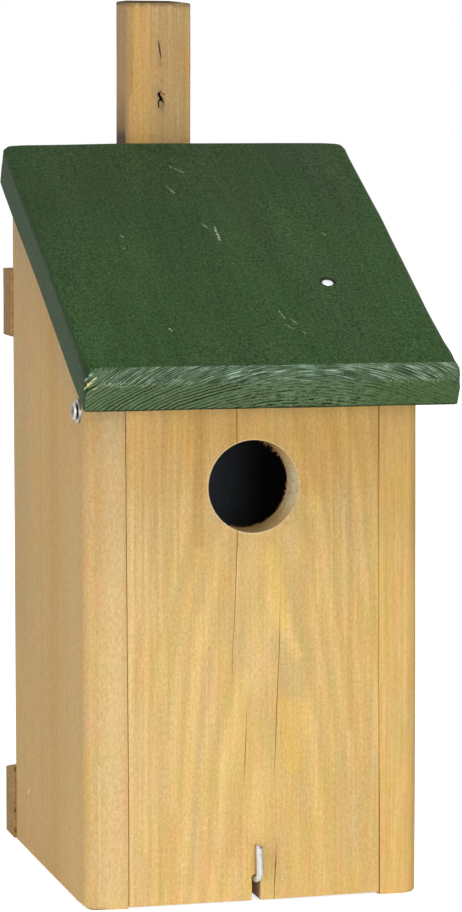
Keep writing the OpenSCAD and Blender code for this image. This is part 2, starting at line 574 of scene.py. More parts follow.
class Recipe:
    """The nodes of one material or world, added one call at a time."""

    def __init__(self, owner):
        self.owner = owner
        owner.use_nodes = True
        self.tree = owner.node_tree
        self.tree.nodes.clear()

    def add(self, kind, settings=None, inputs=None, output=0):
        """Adds a node with its settings and inputs, and gives back one of its outputs."""
        node = self.tree.nodes.new(kind)
        for name, value in (settings or {}).items():
            setattr(node, name, value)
        for key, value in (inputs or {}).items():
            if isinstance(value, Wire):
                self.tree.links.new(value.socket, node.inputs[key])
            else:
                node.inputs[key].default_value = value
        return Wire(self, node.outputs[output])

    def coat(self, colour, roughness, height, strength, distance, more):
        """Ends a material in a surface whose height makes its bumps."""
        bump = self.add(
            "ShaderNodeBump", inputs={"Strength": strength, "Distance": distance, "Height": height}
        )
        inputs = {"Base Color": colour, "Roughness": roughness, "Normal": bump, **more}
        surface = self.add("ShaderNodeBsdfPrincipled", inputs=inputs)
        return self.finish("ShaderNodeOutputMaterial", surface)

    def finish(self, kind, surface):
        """Ends the recipe in its output node and gives back the material or world."""
        node = self.tree.nodes.new(kind)
        self.tree.links.new(surface.socket, node.inputs["Surface"])
        return self.owner

    def math(self, operation, first, second=0.0):
        """One Math node."""
        return self.add("ShaderNodeMath", {"operation": operation}, {0: first, 1: second})

    def band(self, value, start, stop):
        """Rises smoothly from 0 at start to 1 at stop, which may lie below start."""
        return self.add(
            "ShaderNodeMapRange",
            {"interpolation_type": "SMOOTHSTEP"},
            {"Value": value, "From Min": start, "From Max": stop},
        )

    def parts(self, vector):
        """The X, Y and Z of a vector."""
        split = self.add("ShaderNodeSeparateXYZ", inputs={0: vector})
        return [Wire(self, socket) for socket in split.socket.node.outputs]

    def join(self, *values):
        """A vector from its X, Y and Z."""
        return self.add("ShaderNodeCombineXYZ", inputs=dict(enumerate(values)))

    def scaled(self, vector, factor):
        """A vector times one number."""
        return self.add(
            "ShaderNodeVectorMath", {"operation": "SCALE"}, {"Vector": vector, "Scale": factor}
        )

    def times(self, vector, factors):
        """A vector or colour times another, part by part."""
        return self.add("ShaderNodeVectorMath", {"operation": "MULTIPLY"}, {0: vector, 1: factors})

    def noise(self, place, size, seed=0.0, detail=2.0):
        """Noise from 0 to 1 whose blotches have the given size along each axis."""
        spread = self.add(
            "ShaderNodeVectorMath",
            {"operation": "MULTIPLY_ADD"},
            {0: place, 1: tuple(1 / step for step in size), 2: (seed, seed * 1.7, seed * 0.6)},
        )
        return self.add(
            "ShaderNodeTexNoise", inputs={"Vector": spread, "Scale": 1.0, "Detail": detail}
        )

    def blend(self, factor, first, second, way="MIX"):
        """Two colours mixed, the second by the factor."""
        return self.add(
            "ShaderNodeMix",
            {"data_type": "RGBA", "blend_type": way},
            {0: factor, 6: full(first), 7: full(second)},
            output=2,
        )

    def stroke(self, place, start, stop, width):
        """1 along a line from start to stop, fading to 0 at the width from it."""
        start, stop = Vector(start), Vector(stop)
        run = stop - start
        offset = self.add("ShaderNodeVectorMath", {"operation": "SUBTRACT"}, {0: place, 1: start})
        share = self.add(
            "ShaderNodeVectorMath",
            {"operation": "DOT_PRODUCT"},
            {0: offset, 1: run / run.length_squared},
            output="Value",
        )
        held = self.add("ShaderNodeClamp", inputs={"Value": share})
        along = self.scaled(self.join(*run), held)
        away = self.add("ShaderNodeVectorMath", {"operation": "DISTANCE"}, {0: offset, 1: along}, "Value")
        return self.band(away, width, width * 0.2)


def full(colour):
    """A plain colour gets its fourth value; a wire stays as it is."""
    return colour if isinstance(colour, Wire) else (*colour[:3], 1.0)


def new_recipe(name):
    """A recipe for a new material."""
    return Recipe(bpy.data.materials.new(name))


# ---------------------------------------------------------------- materials


def pine(name, along, heart, lean, ring, early, late, seed, **traits):
    """Softwood with growth rings round a heart line, so flat faces show arches and ends show arcs.

    Lengths are in millimetres. along is the axis of the grain, heart the place of the heart line
    across and through the board, lean how far it sinks per length, ring the width of a year's wood.
    The traits are contrast (of the rings), rough (0 planed to 1 sawn), end (darkness of the end
    grain), lines, fleck and pore (strength of the fine lines and of two sizes of speckle), streaks
    (soft lines in a face) and extra (a function that paints over the colour).
    """
    contrast = traits.get("contrast", 0.6)
    rough = traits.get("rough", 0.0)
    recipe = new_recipe(name)
    coordinates = recipe.add("ShaderNodeTexCoord", output="Object")
    facing = recipe.parts(recipe.add("ShaderNodeTexCoord", output="Normal"))
    place = recipe.scaled(coordinates, 1 / MM)
    x, y, z = recipe.parts(place)
    across, deep, length = (x, y, z) if along == "Z" else (z, y, x)
    grain = recipe.join(across, deep, length)
    sway = [recipe.noise(grain, (60, 60, 150), seed + 3.1 * turn) * 12 - 6 for turn in (1, 2)]
    beside = across - heart[0] + sway[0]
    behind = deep - heart[1] - length * lean + sway[1]
    turns = (beside * beside + behind * behind) ** 0.5 / ring
    turns = turns + recipe.noise(grain, (7, 7, 70), seed + 9.0) * 0.5
    season = recipe.math("FRACT", turns)
    year = recipe.math("FLOOR", turns)
    year_tone = recipe.add("ShaderNodeTexWhiteNoise", {"noise_dimensions": "1D"}, {"W": year}, "Value")
    summer = recipe.band(season, 0.05, 0.6) * recipe.band(season, 1.0, 0.7) * (year_tone * 0.7 + 0.3)
    fade = recipe.band(recipe.noise(grain, (30, 30, 90), seed + 11.0, 1), 0.3, 0.7) * 0.6 + 0.4
    fibre = recipe.noise(grain, (0.55, 0.55, 14), seed + 1.0, 3)
    thread = recipe.noise(grain, (1.7, 1.7, 110), seed + 2.0, 2)
    line = recipe.noise(grain, (0.8, 0.8, 42), seed + 15.0, 2)
    fleck = recipe.noise(grain, (0.42, 0.42, 0.55), seed + 4.0, 1)
    pore = recipe.noise(grain, (0.8, 0.8, 1.7), seed + 14.0, 1)
    green_cloud = recipe.noise(grain, (13, 13, 50), seed + 5.0, 2)
    red_cloud = recipe.noise(grain, (16, 16, 42), seed + 6.0, 2)

    colour = recipe.blend(summer * fade * contrast, early, late)
    grey, orange = tinged(early, 0.95, 0.965, 1.03), tinged(early, 1.03, 0.94, 0.90)
    colour = recipe.blend(recipe.band(green_cloud, 0.46, 0.72) * 0.7, colour, grey)
    colour = recipe.blend(recipe.band(red_cloud, 0.5, 0.74) * 0.6, colour, orange)
    warm = recipe.noise(grain, (2.0, 2.0, 6.0), seed + 12.0, 1) - 0.5
    warmer = recipe.noise(grain, (5.5, 5.5, 22), seed + 13.0, 1) - 0.5
    pink = recipe.noise(grain, (4.5, 4.5, 13), seed + 16.0, 1) - 0.5
    hue = warm * 0.16 + warmer * 0.5
    colour = recipe.times(colour, recipe.join(pink * 0.16 + 1.0, 1.0 - pink * 0.1, 1.0 - hue))
    for start, stop, width, shade, strength in traits.get("streaks", ()):
        colour = recipe.blend(recipe.stroke(place, start, stop, width) * strength, colour, shade)
    end_grain = recipe.band(abs(facing[2 if along == "Z" else 0]), 0.6, 0.95)
    burnt = tinged(early, 0.46, 0.42, 0.40)
    colour = recipe.blend(end_grain * traits.get("end", 0.55), colour, burnt)
    if "extra" in traits:
        colour = traits["extra"](recipe, colour, place, facing)
    lines = traits.get("lines", 1.0)
    tone = (fibre - 0.5) * (0.2 * lines + rough * 0.3) + (thread - 0.5) * (0.2 * lines) + 1.0
    tone = tone + (line - 0.5) * (0.2 * lines)
    tone = tone + (fleck - 0.5) * traits.get("fleck", 0.34) + (pore - 0.5) * traits.get("pore", 0.26)
    # Darker specks are browner, so that red, green and blue change alike on the screen
    colour = recipe.times(colour, recipe.join(tone, tone**1.45, tone**2.6))

    height = summer * (contrast * -0.6) + fibre * 0.8 + fleck * 0.4
    if rough:
        teeth = recipe.noise(grain, (30, 30, 1.1), seed + 8.0, 2)
        height = height + teeth * (1.6 * rough)
    return recipe.coat(
        colour, fibre * 0.16 + 0.58, height, 0.45 + 0.4 * rough, 0.14 * MM, {"Specular IOR Level": WOOD_SHEEN}
    )


# Chips in the roof's paint: start and stop across and up the slope, width in mm, and strength
PAINT_CHIPS = (
    ((-6.4, 144.8), (-2.2, 139.8), 0.9, 0.5),
    ((-10.6, 129.5), (-9.0, 124.1), 0.7, 0.5),
    ((-3.7, 101.2), (-2.8, 98.4), 1.0, 0.6),
    ((0.2, 98.2), (0.1, 89.3), 0.8, 1.0),
    ((0.1, 89.3), (0.7, 87.6), 0.4, 0.5),
    ((-34.9, 93.4), (-34.4, 91.4), 0.6, 0.5),
    ((-36.4, 84.6), (-35.8, 83.0), 0.6, 0.6),
    ((39.0, 93.8), (39.6, 92.2), 0.7, 0.5),
    ((-31.4, 28.6), (-30.8, 26.6), 0.7, 0.6),
    ((9.6, 38.6), (10.6, 34.0), 0.8, 0.5),
    ((12.6, 33.4), (13.8, 30.4), 0.7, 0.5),
    ((9.4, 30.4), (11.8, 26.8), 0.7, 0.45),
    ((14.4, 25.6), (15.2, 23.8), 0.6, 0.5),
    ((4.0, 151.0), (5.0, 149.0), 0.7, 0.35),
    ((-12.6, 150.6), (-11.6, 149.6), 0.7, 0.35),
)
# Bare wood at the left end of the nose: start and stop across, up the slope and above the underside
BARE_CHIPS = (
    ((-64.7, 2.4, 7.8), (-63.0, 1.5, 10.9), 0.6, 1.0),
    ((-64.2, 2.0, 9.8), (-61.6, 1.3, 12.8), 0.5, 0.6),
    ((-62.4, 0.4, 8.6), (-61.2, 0.3, 9.4), 0.4, 0.6),
)
# Rows of pale specks along the foot of the nose, in the same way
SPECKS = (
    ((-62, 0, 10.4), (-52, 0, 10.9), 0.8, 1.0),
    ((-56, 0, 9.6), (-42, 0, 10.6), 0.6, 0.7),
    ((37, 0, 10.4), (47, 0, 9.8), 0.8, 0.9),
    ((52, 0, 10.2), (58, 0, 10.0), 0.8, 0.9),
)


# How far in mm the heart of the roof's timber lies to the right of the middle, and how far below
# the board it lies for the rings on the front end and for the strokes on the nose
HEART_ACROSS, END_HEART_DROP, NOSE_HEART_DROP = 10.0, 92.0, 47.0


def roof_place():
    """The roof's own frame: X across, Y up the slope, Z square to the board, at its lower front edge."""
    low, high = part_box("roof_board")
    side_low, side_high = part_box("left_side_board")
    slope = timber().roof_slope
    front_top = side_high.z - (side_high.y - side_low.y) * math.tan(slope)
    front = side_low.y - (front_top - low.z) / math.tan(slope)
    length = (high.y - front) / math.cos(slope)
    thickness = (high.z - low.z - length * math.sin(slope)) / math.cos(slope)
    origin = Vector((0, front, low.z))
    return origin, Vector((high.x - low.x, length, thickness))


def strokes(recipe, place, lines):
    """The strongest of several strokes at each place."""
    most = None
    for start, stop, width, strength in lines:
        line = recipe.stroke(place, start, stop, width) * strength
        most = line if most is None else recipe.math("MAXIMUM", most, line)
    return most


class RoofSpot:
    """Where a shaded place lies on the roof board, in millimetres, and which way its face looks."""

    def __init__(self, recipe):
        self.recipe = recipe
        origin, size = roof_place()
        turn = {"Rotation": (timber().roof_slope, 0, 0)}
        textured = {"vector_type": "TEXTURE"}
        coordinates = recipe.add("ShaderNodeTexCoord", output="Object")
        turned = recipe.add(
            "ShaderNodeMapping", textured, {"Vector": coordinates, "Location": origin, **turn}
        )
        normal = recipe.add("ShaderNodeTexCoord", output="Normal")
        facing = recipe.add("ShaderNodeMapping", textured, {"Vector": normal, **turn})
        self.origin = Vector(origin)
        self.place = recipe.scaled(turned, 1 / MM)
        self.across, self.up, self.above = recipe.parts(self.place)
        self.to_side, self.to_slope, self.to_top = recipe.parts(facing)
        self.grain = recipe.join(self.across, self.above, self.up)
        self.thickness = size.z / MM
        self.rightness = recipe.band(self.across, 20, 45)
        self.leftness = recipe.band(self.across, 0, -30)

    def from_heart(self, drop, climb, wander=None):
        """Steps across and up from a heart line that lies below the board, and sinks up the slope."""
        beside = self.across - HEART_ACROSS
        if wander:
            beside = beside + wander
        return beside, self.above + self.up * climb + drop

    def rings(self, drop, width, seed, wander):
        """How far through its growth ring a place lies, in rings over the heart line, and the ring's tone."""
        recipe = self.recipe
        sway = (recipe.noise(self.grain, (16, 16, 40), seed, 2) * 2 - 1) * wander
        beside, over = self.from_heart(drop, 0.0, sway)
        turns = (beside * beside + over * over) ** 0.5 / width
        turns = turns + recipe.noise(self.grain, (6, 6, 9), seed + 1, 2) * 0.8
        year = recipe.math("FLOOR", turns)
        tone = recipe.add("ShaderNodeTexWhiteNoise", {"noise_dimensions": "1D"}, {"W": year}, "Value")
        return recipe.math("FRACT", turns), tone

    def strands(self, drop, width, length, seed, climb):
        """Streaks drawn out along arcs over the heart line."""
        recipe = self.recipe
        beside, over = self.from_heart(drop, climb)
        off = (beside * beside + over * over) ** 0.5
        run = recipe.math("ARCTAN2", beside, over) * drop
        return recipe.noise(recipe.join(off, run, 0.0), (width, length, 1.0), seed, 0)


def end_grain_marks(recipe, spot, end_face, nose):
    """Grooves, pale ridges, dark furrows and slivers in the paint on the end grain and the nose.

    On the left the grooves run on, in the middle they are short dashes, on the right they are faint.
    """
    place, across, above = spot.place, spot.across, spot.above
    dashes = recipe.noise(place, (3.4, 4, 1.1), 7.0, 2) + spot.leftness * 0.16
    season, tone = spot.rings(END_HEART_DROP, 1.22, 2.0, 2.5)
    groove = recipe.band(season, 0.34, 0.66) * recipe.band(season, 1.0, 0.88) * (tone * 0.7 + 0.45)
    groove = groove * recipe.band(dashes, 0.40, 0.56) * (1.0 - spot.rightness * 0.5)
    stitches = recipe.band(recipe.noise(place, (1.6, 4, 0.42), 15.0, 1), 0.60, 0.70)
    middle = recipe.band(abs(across - 8.0), 36, 18) * recipe.band(above, 9.5, 6)
    groove = recipe.math("MAXIMUM", groove, stitches * middle) * end_face * (1.0 - nose * 0.45)
    strand = spot.strands(NOSE_HEART_DROP, 0.34, 6.0, 5.0, 1.1)
    ridge = recipe.band(strand, 0.52, 0.66) * nose * (1.0 - spot.leftness * 0.2)
    ridge = ridge * recipe.band(recipe.noise(place, (5, 4, 1.3), 12.0, 2), 0.26, 0.54)
    furrow = recipe.band(strand, 0.46, 0.34) * nose
    splinter = spot.strands(END_HEART_DROP, 0.5, 5.0, 25.0, 0.0)
    sliver = recipe.band(splinter, 0.52, 0.66) * end_face * (1.0 - nose)
    return groove, ridge, furrow, sliver


def chipped(recipe, spot, colour):
    """Scuffs, pale crumbs and bare chips in the paint, and a dark ring of painted shade round the roof nail.
    """
    place, across, up = spot.place, spot.across, spot.up
    ragged = recipe.noise(place, (0.7, 0.7, 0.7), 9.0, 3)
    flat_chips = [
        ((*start, spot.thickness), (*stop, spot.thickness), width, strength)
        for start, stop, width, strength in PAINT_CHIPS
    ]
    chips = strokes(recipe, place, flat_chips) * recipe.band(spot.to_top, 0.6, 0.9)
    scuff = recipe.band(chips * recipe.band(ragged, 0.40, 0.56), 0.1, 0.8)
    colour = recipe.blend(scuff * 0.85, colour, tint(172, 182, 158))
    low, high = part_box("roof_nail")
    nail = Matrix.Rotation(-timber().roof_slope, 3, "X") @ ((low + high) / 2 - spot.origin) / MM
    off_nail = ((across - nail.x) * (across - nail.x) + (up - nail.y) * (up - nail.y)) ** 0.5
    head = (high.x - low.x) / 2 / MM
    # Painted shade: a dark ring round the nail's head, in the dimple it sits in
    nail_ring_shade = recipe.band(off_nail, head + 1.05, head + 0.7) * recipe.band(spot.to_top, 0.3, 0.6)
    colour = recipe.blend(nail_ring_shade * 0.9, colour, tint(12, 24, 16))
    crumbs = recipe.band(recipe.noise(place, (0.8, 0.8, 0.6), 10.0, 2), 0.52, 0.62)
    colour = recipe.blend(strokes(recipe, place, SPECKS) * crumbs * 0.8, colour, tint(196, 208, 176))
    bare = recipe.band(strokes(recipe, place, BARE_CHIPS) * (ragged + 0.45), 0.25, 0.6)
    return recipe.blend(bare, colour, tint(236, 226, 150)), scuff, bare


def garden_paint():
    """Thin green paint over pine: grooved on the end grain, darker at the sides, chipped in places."""
    recipe = new_recipe("garden paint")
    spot = RoofSpot(recipe)
    place, across, up, above = spot.place, spot.across, spot.up, spot.above
    nose_bottom = spot.thickness - timber().nose_drop / MM
    end_face = recipe.band(spot.to_slope, -0.35, -0.6) + recipe.band(spot.to_slope, 0.75, 0.93)
    ragged_edge = recipe.noise(place, (2.2, 2.2, 2.2), 1.0, 3) * 1.6
    nose = recipe.band(ragged_edge + up, 4.9, 4.3) * recipe.band(above, nose_bottom, nose_bottom + 1.8)
    end_face = recipe.math("MAXIMUM", end_face, nose)
    side = recipe.band(abs(spot.to_side), 0.55, 0.85)
    groove, ridge, furrow, sliver = end_grain_marks(recipe, spot, end_face, nose)

    mottle = recipe.noise(place, (15, 80, 22), 3.0, 3)
    brown = recipe.noise(place, (20, 100, 46), 8.0, 2)
    haze = recipe.noise(place, (0.9, 1.6, 0.9), 14.0, 2)
    colour = recipe.blend(recipe.band(mottle, 0.35, 0.68), colours().paint, colours().paint_bright)
    faded = recipe.band(brown, 0.42, 0.62) * recipe.band(across, -45, 15)
    colour = recipe.blend(faded * 0.3, colour, colours().paint_dull)
    lively = recipe.band(across * 0.6 - up, -150, -40)
    light = recipe.join(lively * 0.15 + 0.93, lively * 0.27 + 0.91, lively * 0.11 + 0.93)
    colour = recipe.times(colour, light)
    bloom = tinged(colours().paint, 1.55, 1.3, 1.6)
    colour = recipe.blend(recipe.band(haze, 0.48, 0.66) * 0.12, colour, bloom)
    speck = recipe.band(recipe.noise(place, (0.7, 1.3, 0.7), 27.0, 1), 0.70, 0.79)
    colour = recipe.blend(speck * 0.5, colour, tint(100, 124, 98))
    colour = recipe.blend(end_face, colour, colours().paint_end)
    colour = recipe.blend(nose * 0.6, colour, colours().paint_nose)
    colour = recipe.blend(sliver * (0.5 - spot.rightness * 0.4), colour, tint(124, 146, 112))
    foot = end_face * recipe.band(above, 1.2, 0.5)
    colour = recipe.blend(foot * 0.85, colour, tint(34, 38, 18))
    colour = recipe.blend(side, colour, colours().paint_side)
    # Darker grooves and furrows: partly paint gathered in them, partly painted shade
    dark = recipe.math("MAXIMUM", groove, furrow * 0.8) * 0.95
    colour = recipe.blend(dark, colour, tint(18, 34, 14))
    colour = recipe.blend(ridge * 0.95, colour, tint(162, 188, 164))
    colour, scuff, bare = chipped(recipe, spot, colour)

    patch = recipe.noise(place, (1.9, 3.2, 1.9), 21.0, 1)
    flat = 1.0 - end_face
    hue = ((patch - 0.5) * 0.3 + (haze - 0.5) * 0.2) * (flat * 0.3 + 0.7)
    colour = recipe.times(colour, recipe.join(1.0 + hue, 1.0, 1.0 - hue * 0.6))
    grit = recipe.noise(place, (0.85, 1.3, 0.4), 4.0, 1)
    brush = recipe.noise(spot.grain, (1.5, 1.5, 26), 6.0, 2)
    sweep = recipe.noise(spot.grain, (3.8, 3.8, 42), 33.0, 2)
    tone = (grit - 0.5) * (flat * 1.6 + 1.0) + (patch - 0.5) * (0.3 - flat * 0.2) + 1.0
    tone = tone + (brush - 0.5) * (flat * 0.3 + 0.2) + (sweep - 0.5) * flat * 0.4
    tone = tone - spot.rightness * end_face * (1.0 - nose) * 0.23
    tone = recipe.math("MAXIMUM", tone, 0.35)
    # Darker spots turn towards green, because red and blue fall faster
    colour = recipe.times(colour, recipe.join(tone**1.36, tone, tone**1.6))

    height = brush * 0.5 + grit * 0.25 - groove * 1.8 + ridge * 1.2 - furrow - scuff * 0.6 - bare * 0.8
    return recipe.coat(
        colour, 0.62 - ridge * 0.12 + bare * 0.1, height, 0.6, 0.24 * MM, {"Specular IOR Level": WOOD_SHEEN}
    )


def plated_steel(name, base, roughness, dirt, tip=None, socket=None):
    """Zinc or bright steel with small dull blotches, a dark cut tip or a dark disc about the screw's axis:
    painted shade round the cross recess on a screw's head, and the painted shadow of the head on its washer.
    """
    recipe = new_recipe(name)
    place = recipe.scaled(recipe.add("ShaderNodeTexCoord", output="Object"), 1 / MM)
    blotch = recipe.noise(place, (1.4, 1.4, 1.4), 2.0, 4)
    scratch = recipe.noise(place, (0.25, 0.25, 2.5), 5.0, 2)
    worn = recipe.band(blotch, 0.44, 0.70) * dirt
    colour = recipe.blend(worn, base, tint(134, 136, 138))
    across, deep, up = recipe.parts(place)
    if tip:
        cut_end = recipe.band(up, *tip[:2]) * recipe.band(across, *tip[2:])
        colour = recipe.blend(cut_end * 0.7, colour, tint(92, 78, 84))
    # Painted shade: a dark disc round the axis, round the recess on a screw head and round the head on a
    # washer
    if socket:
        centre, reach = socket
        rise, back = up - centre.z / MM, deep - centre.y / MM
        off = (rise * rise + back * back) ** 0.5
        colour = recipe.blend(recipe.band(off, reach, reach - 0.35) * 0.85, colour, tint(48, 42, 38))
    rough = worn * 0.25 + scratch * 0.1 + roughness
    height = blotch + scratch * 0.4
    return recipe.coat(colour, rough, height, 0.3, 0.05 * MM, {"Metallic": STEEL_METALNESS})


# ---------------------------------------------------------------- boards


def on_face(depth, *streaks):
    """Streaks given by their places across and up a face that lies at one depth."""
    return tuple(
        ((start[0], depth, start[1]), (stop[0], depth, stop[1]), *look) for start, stop, *look in streaks
    )


# Soft streaks in the faces: start and stop in mm, half width, colour and strength
FRONT_STREAKS = on_face(
    FRONT_FACE,
    ((-19, 100), (-25, 14), 3.2, tint(243, 207, 134), 0.5),
    ((-14, 125), (-17, 92), 3.0, tint(242, 206, 132), 0.35),
    ((5, 118), (20, 60), 4.5, tint(243, 206, 134), 0.5),
    ((18, 74), (24, 30), 4.0, tint(242, 204, 130), 0.4),
    ((-1, 120), (0, 90), 7.0, tint(232, 198, 132), 0.4),
    ((-2, 60), (3, 26), 7.0, tint(240, 202, 126), 0.35),
    ((34, 176), (35, 60), 1.5, tint(204, 166, 104), 0.35),
    ((-43, 170), (-43.5, 0), 1.6, tint(246, 212, 150), 0.5),
    ((-37.5, 176), (-38, 20), 1.3, tint(246, 210, 146), 0.4),
    ((-33, 175), (-34, 110), 2.0, tint(206, 170, 110), 0.3),
    ((-5.5, 124), (-7.0, 88), 0.4, tint(250, 222, 164), 0.5),
    ((-40.1, 174), (-40.4, 100), 1.3, tint(246, 208, 140), 0.4),
    ((-33.6, 174), (-32.6, 96), 1.1, tint(248, 210, 150), 0.4),
    ((-27.6, 172), (-27.8, 112), 1.0, tint(246, 206, 138), 0.35),
    ((-23.9, 176), (-25.4, 122), 1.0, tint(250, 214, 128), 0.4),
    ((-19.6, 170), (-19.4, 126), 3.0, tint(206, 164, 100), 0.6),
    ((-15.4, 172), (-15.0, 158), 0.5, tint(246, 212, 146), 0.5),
    ((22.8, 119), (23.1, 104), 1.0, tint(250, 214, 134), 0.4),
    ((10, 90), (15, 74), 8.0, tint(206, 184, 128), 0.5),
    ((12, 68), (15, 48), 6.0, tint(238, 196, 106), 0.55),
    ((5, 108), (16, 86), 3.2, tint(250, 210, 140), 0.5),
    ((-8, 104), (-4, 84), 6.0, tint(210, 184, 126), 0.35),
    ((27.6, 152), (28.0, 96), 0.7, tint(242, 206, 134), 0.5),
    ((32.1, 140), (32.6, 92), 0.8, tint(240, 206, 134), 0.45),
    ((36.3, 128), (36.7, 98), 0.6, tint(240, 206, 134), 0.4),
    ((6, 122), (11, 98), 4.2, tint(246, 208, 118), 0.5),
    ((24.6, 156), (25.2, 136), 1.6, tint(210, 168, 104), 0.4),
)
LEFT_STREAKS = (
    ((LEFT_FACE, -45, 190), (LEFT_FACE, -45, 0), 16, tint(228, 192, 134), 0.4),
    ((LEFT_FACE, -11, 240), (LEFT_FACE, -11, 0), 14, tint(214, 168, 104), 0.45),
    ((LEFT_FACE, 10, 240), (LEFT_FACE, 11, 20), 1.2, tint(176, 132, 84), 0.35),
    ((LEFT_FACE, 44, 260), (LEFT_FACE, 50, 90), 26, tint(202, 174, 132), 0.45),
    ((-59.8, 37.0, 21.9), (-59.8, 34.8, 23.6), 0.9, tint(252, 240, 216), 1.0),
    # Painted highlight: a pale line where the rounded front arris meets the flat front
    ((-54.4, FRONT_FACE, 50), (-54.2, FRONT_FACE, 0), 0.45, tint(252, 230, 184), 0.3),
    ((-56, FRONT_FACE, 168), (-52, FRONT_FACE, 96), 5.0, tint(226, 178, 122), 0.35),
    ((-49, FRONT_FACE, 180), (-49.5, FRONT_FACE, 0), 6.0, tint(242, 212, 158), 0.4),
)
RIGHT_STREAKS = (
    ((RIGHT_EDGE, -58, 150), (RIGHT_EDGE, -58, 100), 1.8, tint(216, 198, 164), 0.6),
    ((54.6, FRONT_FACE, 150), (54.9, FRONT_FACE, 60), 0.6, tint(250, 214, 140), 0.25),
    ((50.4, FRONT_FACE, 172), (51.0, FRONT_FACE, 20), 0.8, tint(204, 160, 84), 0.2),
    ((47.6, FRONT_FACE, 172), (48.4, FRONT_FACE, 10), 0.8, tint(206, 162, 88), 0.15),
)
HANGER_STREAKS = on_face(
    HANGER_FACE,
    ((-7.6, 308), (-7.9, 262), 6.8, tint(216, 170, 100), 0.58),
    ((-8.2, 262), (-8.6, 225), 6.4, tint(212, 168, 98), 0.5),
    ((5.0, 306), (5.0, 232), 9.0, tint(184, 154, 104), 0.55),
    ((7.5, 312), (12, 311.5), 2.0, tint(140, 120, 90), 0.3),
    ((0, 226), (2, 220), 12, tint(206, 160, 96), 0.4),
    ((-0.4, 298.5), (0.4, 290), 1.6, tint(156, 138, 102), 0.45),
    ((-1.2, 280.4), (1.4, 272.6), 2.9, tint(168, 148, 110), 0.5),
    ((-0.2, 279.4), (0.7, 274), 1.7, tint(120, 104, 78), 0.4),
    ((0.86, 279.4), (2.0, 278.8), 0.35, tint(84, 66, 44), 0.9),
    ((1.7, 277.8), (1.85, 275.2), 0.3, tint(124, 94, 58), 0.8),
    ((1.85, 275.2), (0.4, 274.0), 0.3, tint(124, 94, 58), 0.7),
)


# How far in mm the left board's back edge slants forwards at the foot, and the height it starts from
BACK_SLANT, SLANT_TOP = 2.1, 190


def right_seam_shift(place, front):
    """How far the seam at the right of the panel stands to the right of its nominal place."""
    at_top, more_at_foot = 0.35 * MM, 1.2 * MM
    down = ramp(place.z, 170 * MM, 0)
    depth = ramp(place.y, front + BOARD, front)
    return (at_top + more_at_foot * down) * depth


def left_seam_shift(place, front):
    """How far the panel's left seam stands to the right, tapered inwards so that the panel swings free."""
    at_foot, lean = 0.35 * MM, 1.05 * MM
    shift = at_foot - lean * ramp(place.z, 20 * MM, 165 * MM)
    return shift * ramp(place.y, front + BOARD, front) if shift < 0 else shift


def seam_opening(side, up):
    """How much wider a seam has dried open at a height, on the side board's edge."""
    if side < 0:
        middle, at_foot = 0.06 * MM, 0.06 * MM
        return middle + at_foot * ramp(up, 40 * MM, 12 * MM)
    middle, at_foot, at_top = 0.02 * MM, 0.25 * MM, 0.13 * MM
    top = at_top * ramp(up, 145 * MM, 156 * MM)
    return top + at_foot * ramp(up, 75 * MM, 20 * MM) - middle


def brown_seam(recipe, colour, place, facing):
    """Browner wood on the faces that look into the front panel's two seams."""
    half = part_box("front_panel")[1].x / MM
    across = abs(recipe.parts(place)[0])
    seam = recipe.band(abs(facing[0]), 0.6, 0.9)
    seam = seam * recipe.band(abs(across - half), 3.5, 2.5)
    return recipe.blend(seam, colour, (1.0, 0.74, 0.4), "MULTIPLY")


def weathered_and_shaded(recipe, colour, place, facing):
    """Left board: greyer along the back edge, painted shadow of the roof below the roof line, painted shade
    on its side face and on the front next to its left arris, and browner at the seam.
    """
    low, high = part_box("left_side_board")
    across, deep, up = recipe.parts(place)
    slanted = deep + recipe.band(up, SLANT_TOP, 0) * BACK_SLANT
    edge = recipe.band(slanted, high.y / MM - 2.4, high.y / MM - 0.6)
    colour = recipe.blend(edge * 0.55, colour, tint(158, 138, 116))
    # Painted shadow of the roof: darker within 44 mm below the roof line
    below = (high.z - high.y * math.tan(timber().roof_slope)) / MM - up + deep * math.tan(timber().roof_slope)
    colour = recipe.blend(recipe.band(below, 44, 4), colour, (0.83, 0.85, 0.9), "MULTIPLY")
    # Painted shade: a little darker on the front next to the left arris and on the whole outer side face
    turned = recipe.band(across, low.x / MM + 5, low.x / MM + 1) * recipe.band(facing[1], -0.2, -0.6)
    colour = recipe.blend(turned, colour, (0.96, 0.95, 0.95), "MULTIPLY")
    side_face_shade = recipe.band(facing[0], -0.4, -0.8)
    colour = recipe.blend(side_face_shade, colour, (0.965, 0.95, 0.95), "MULTIPLY")
    return brown_seam(recipe, colour, place, facing)


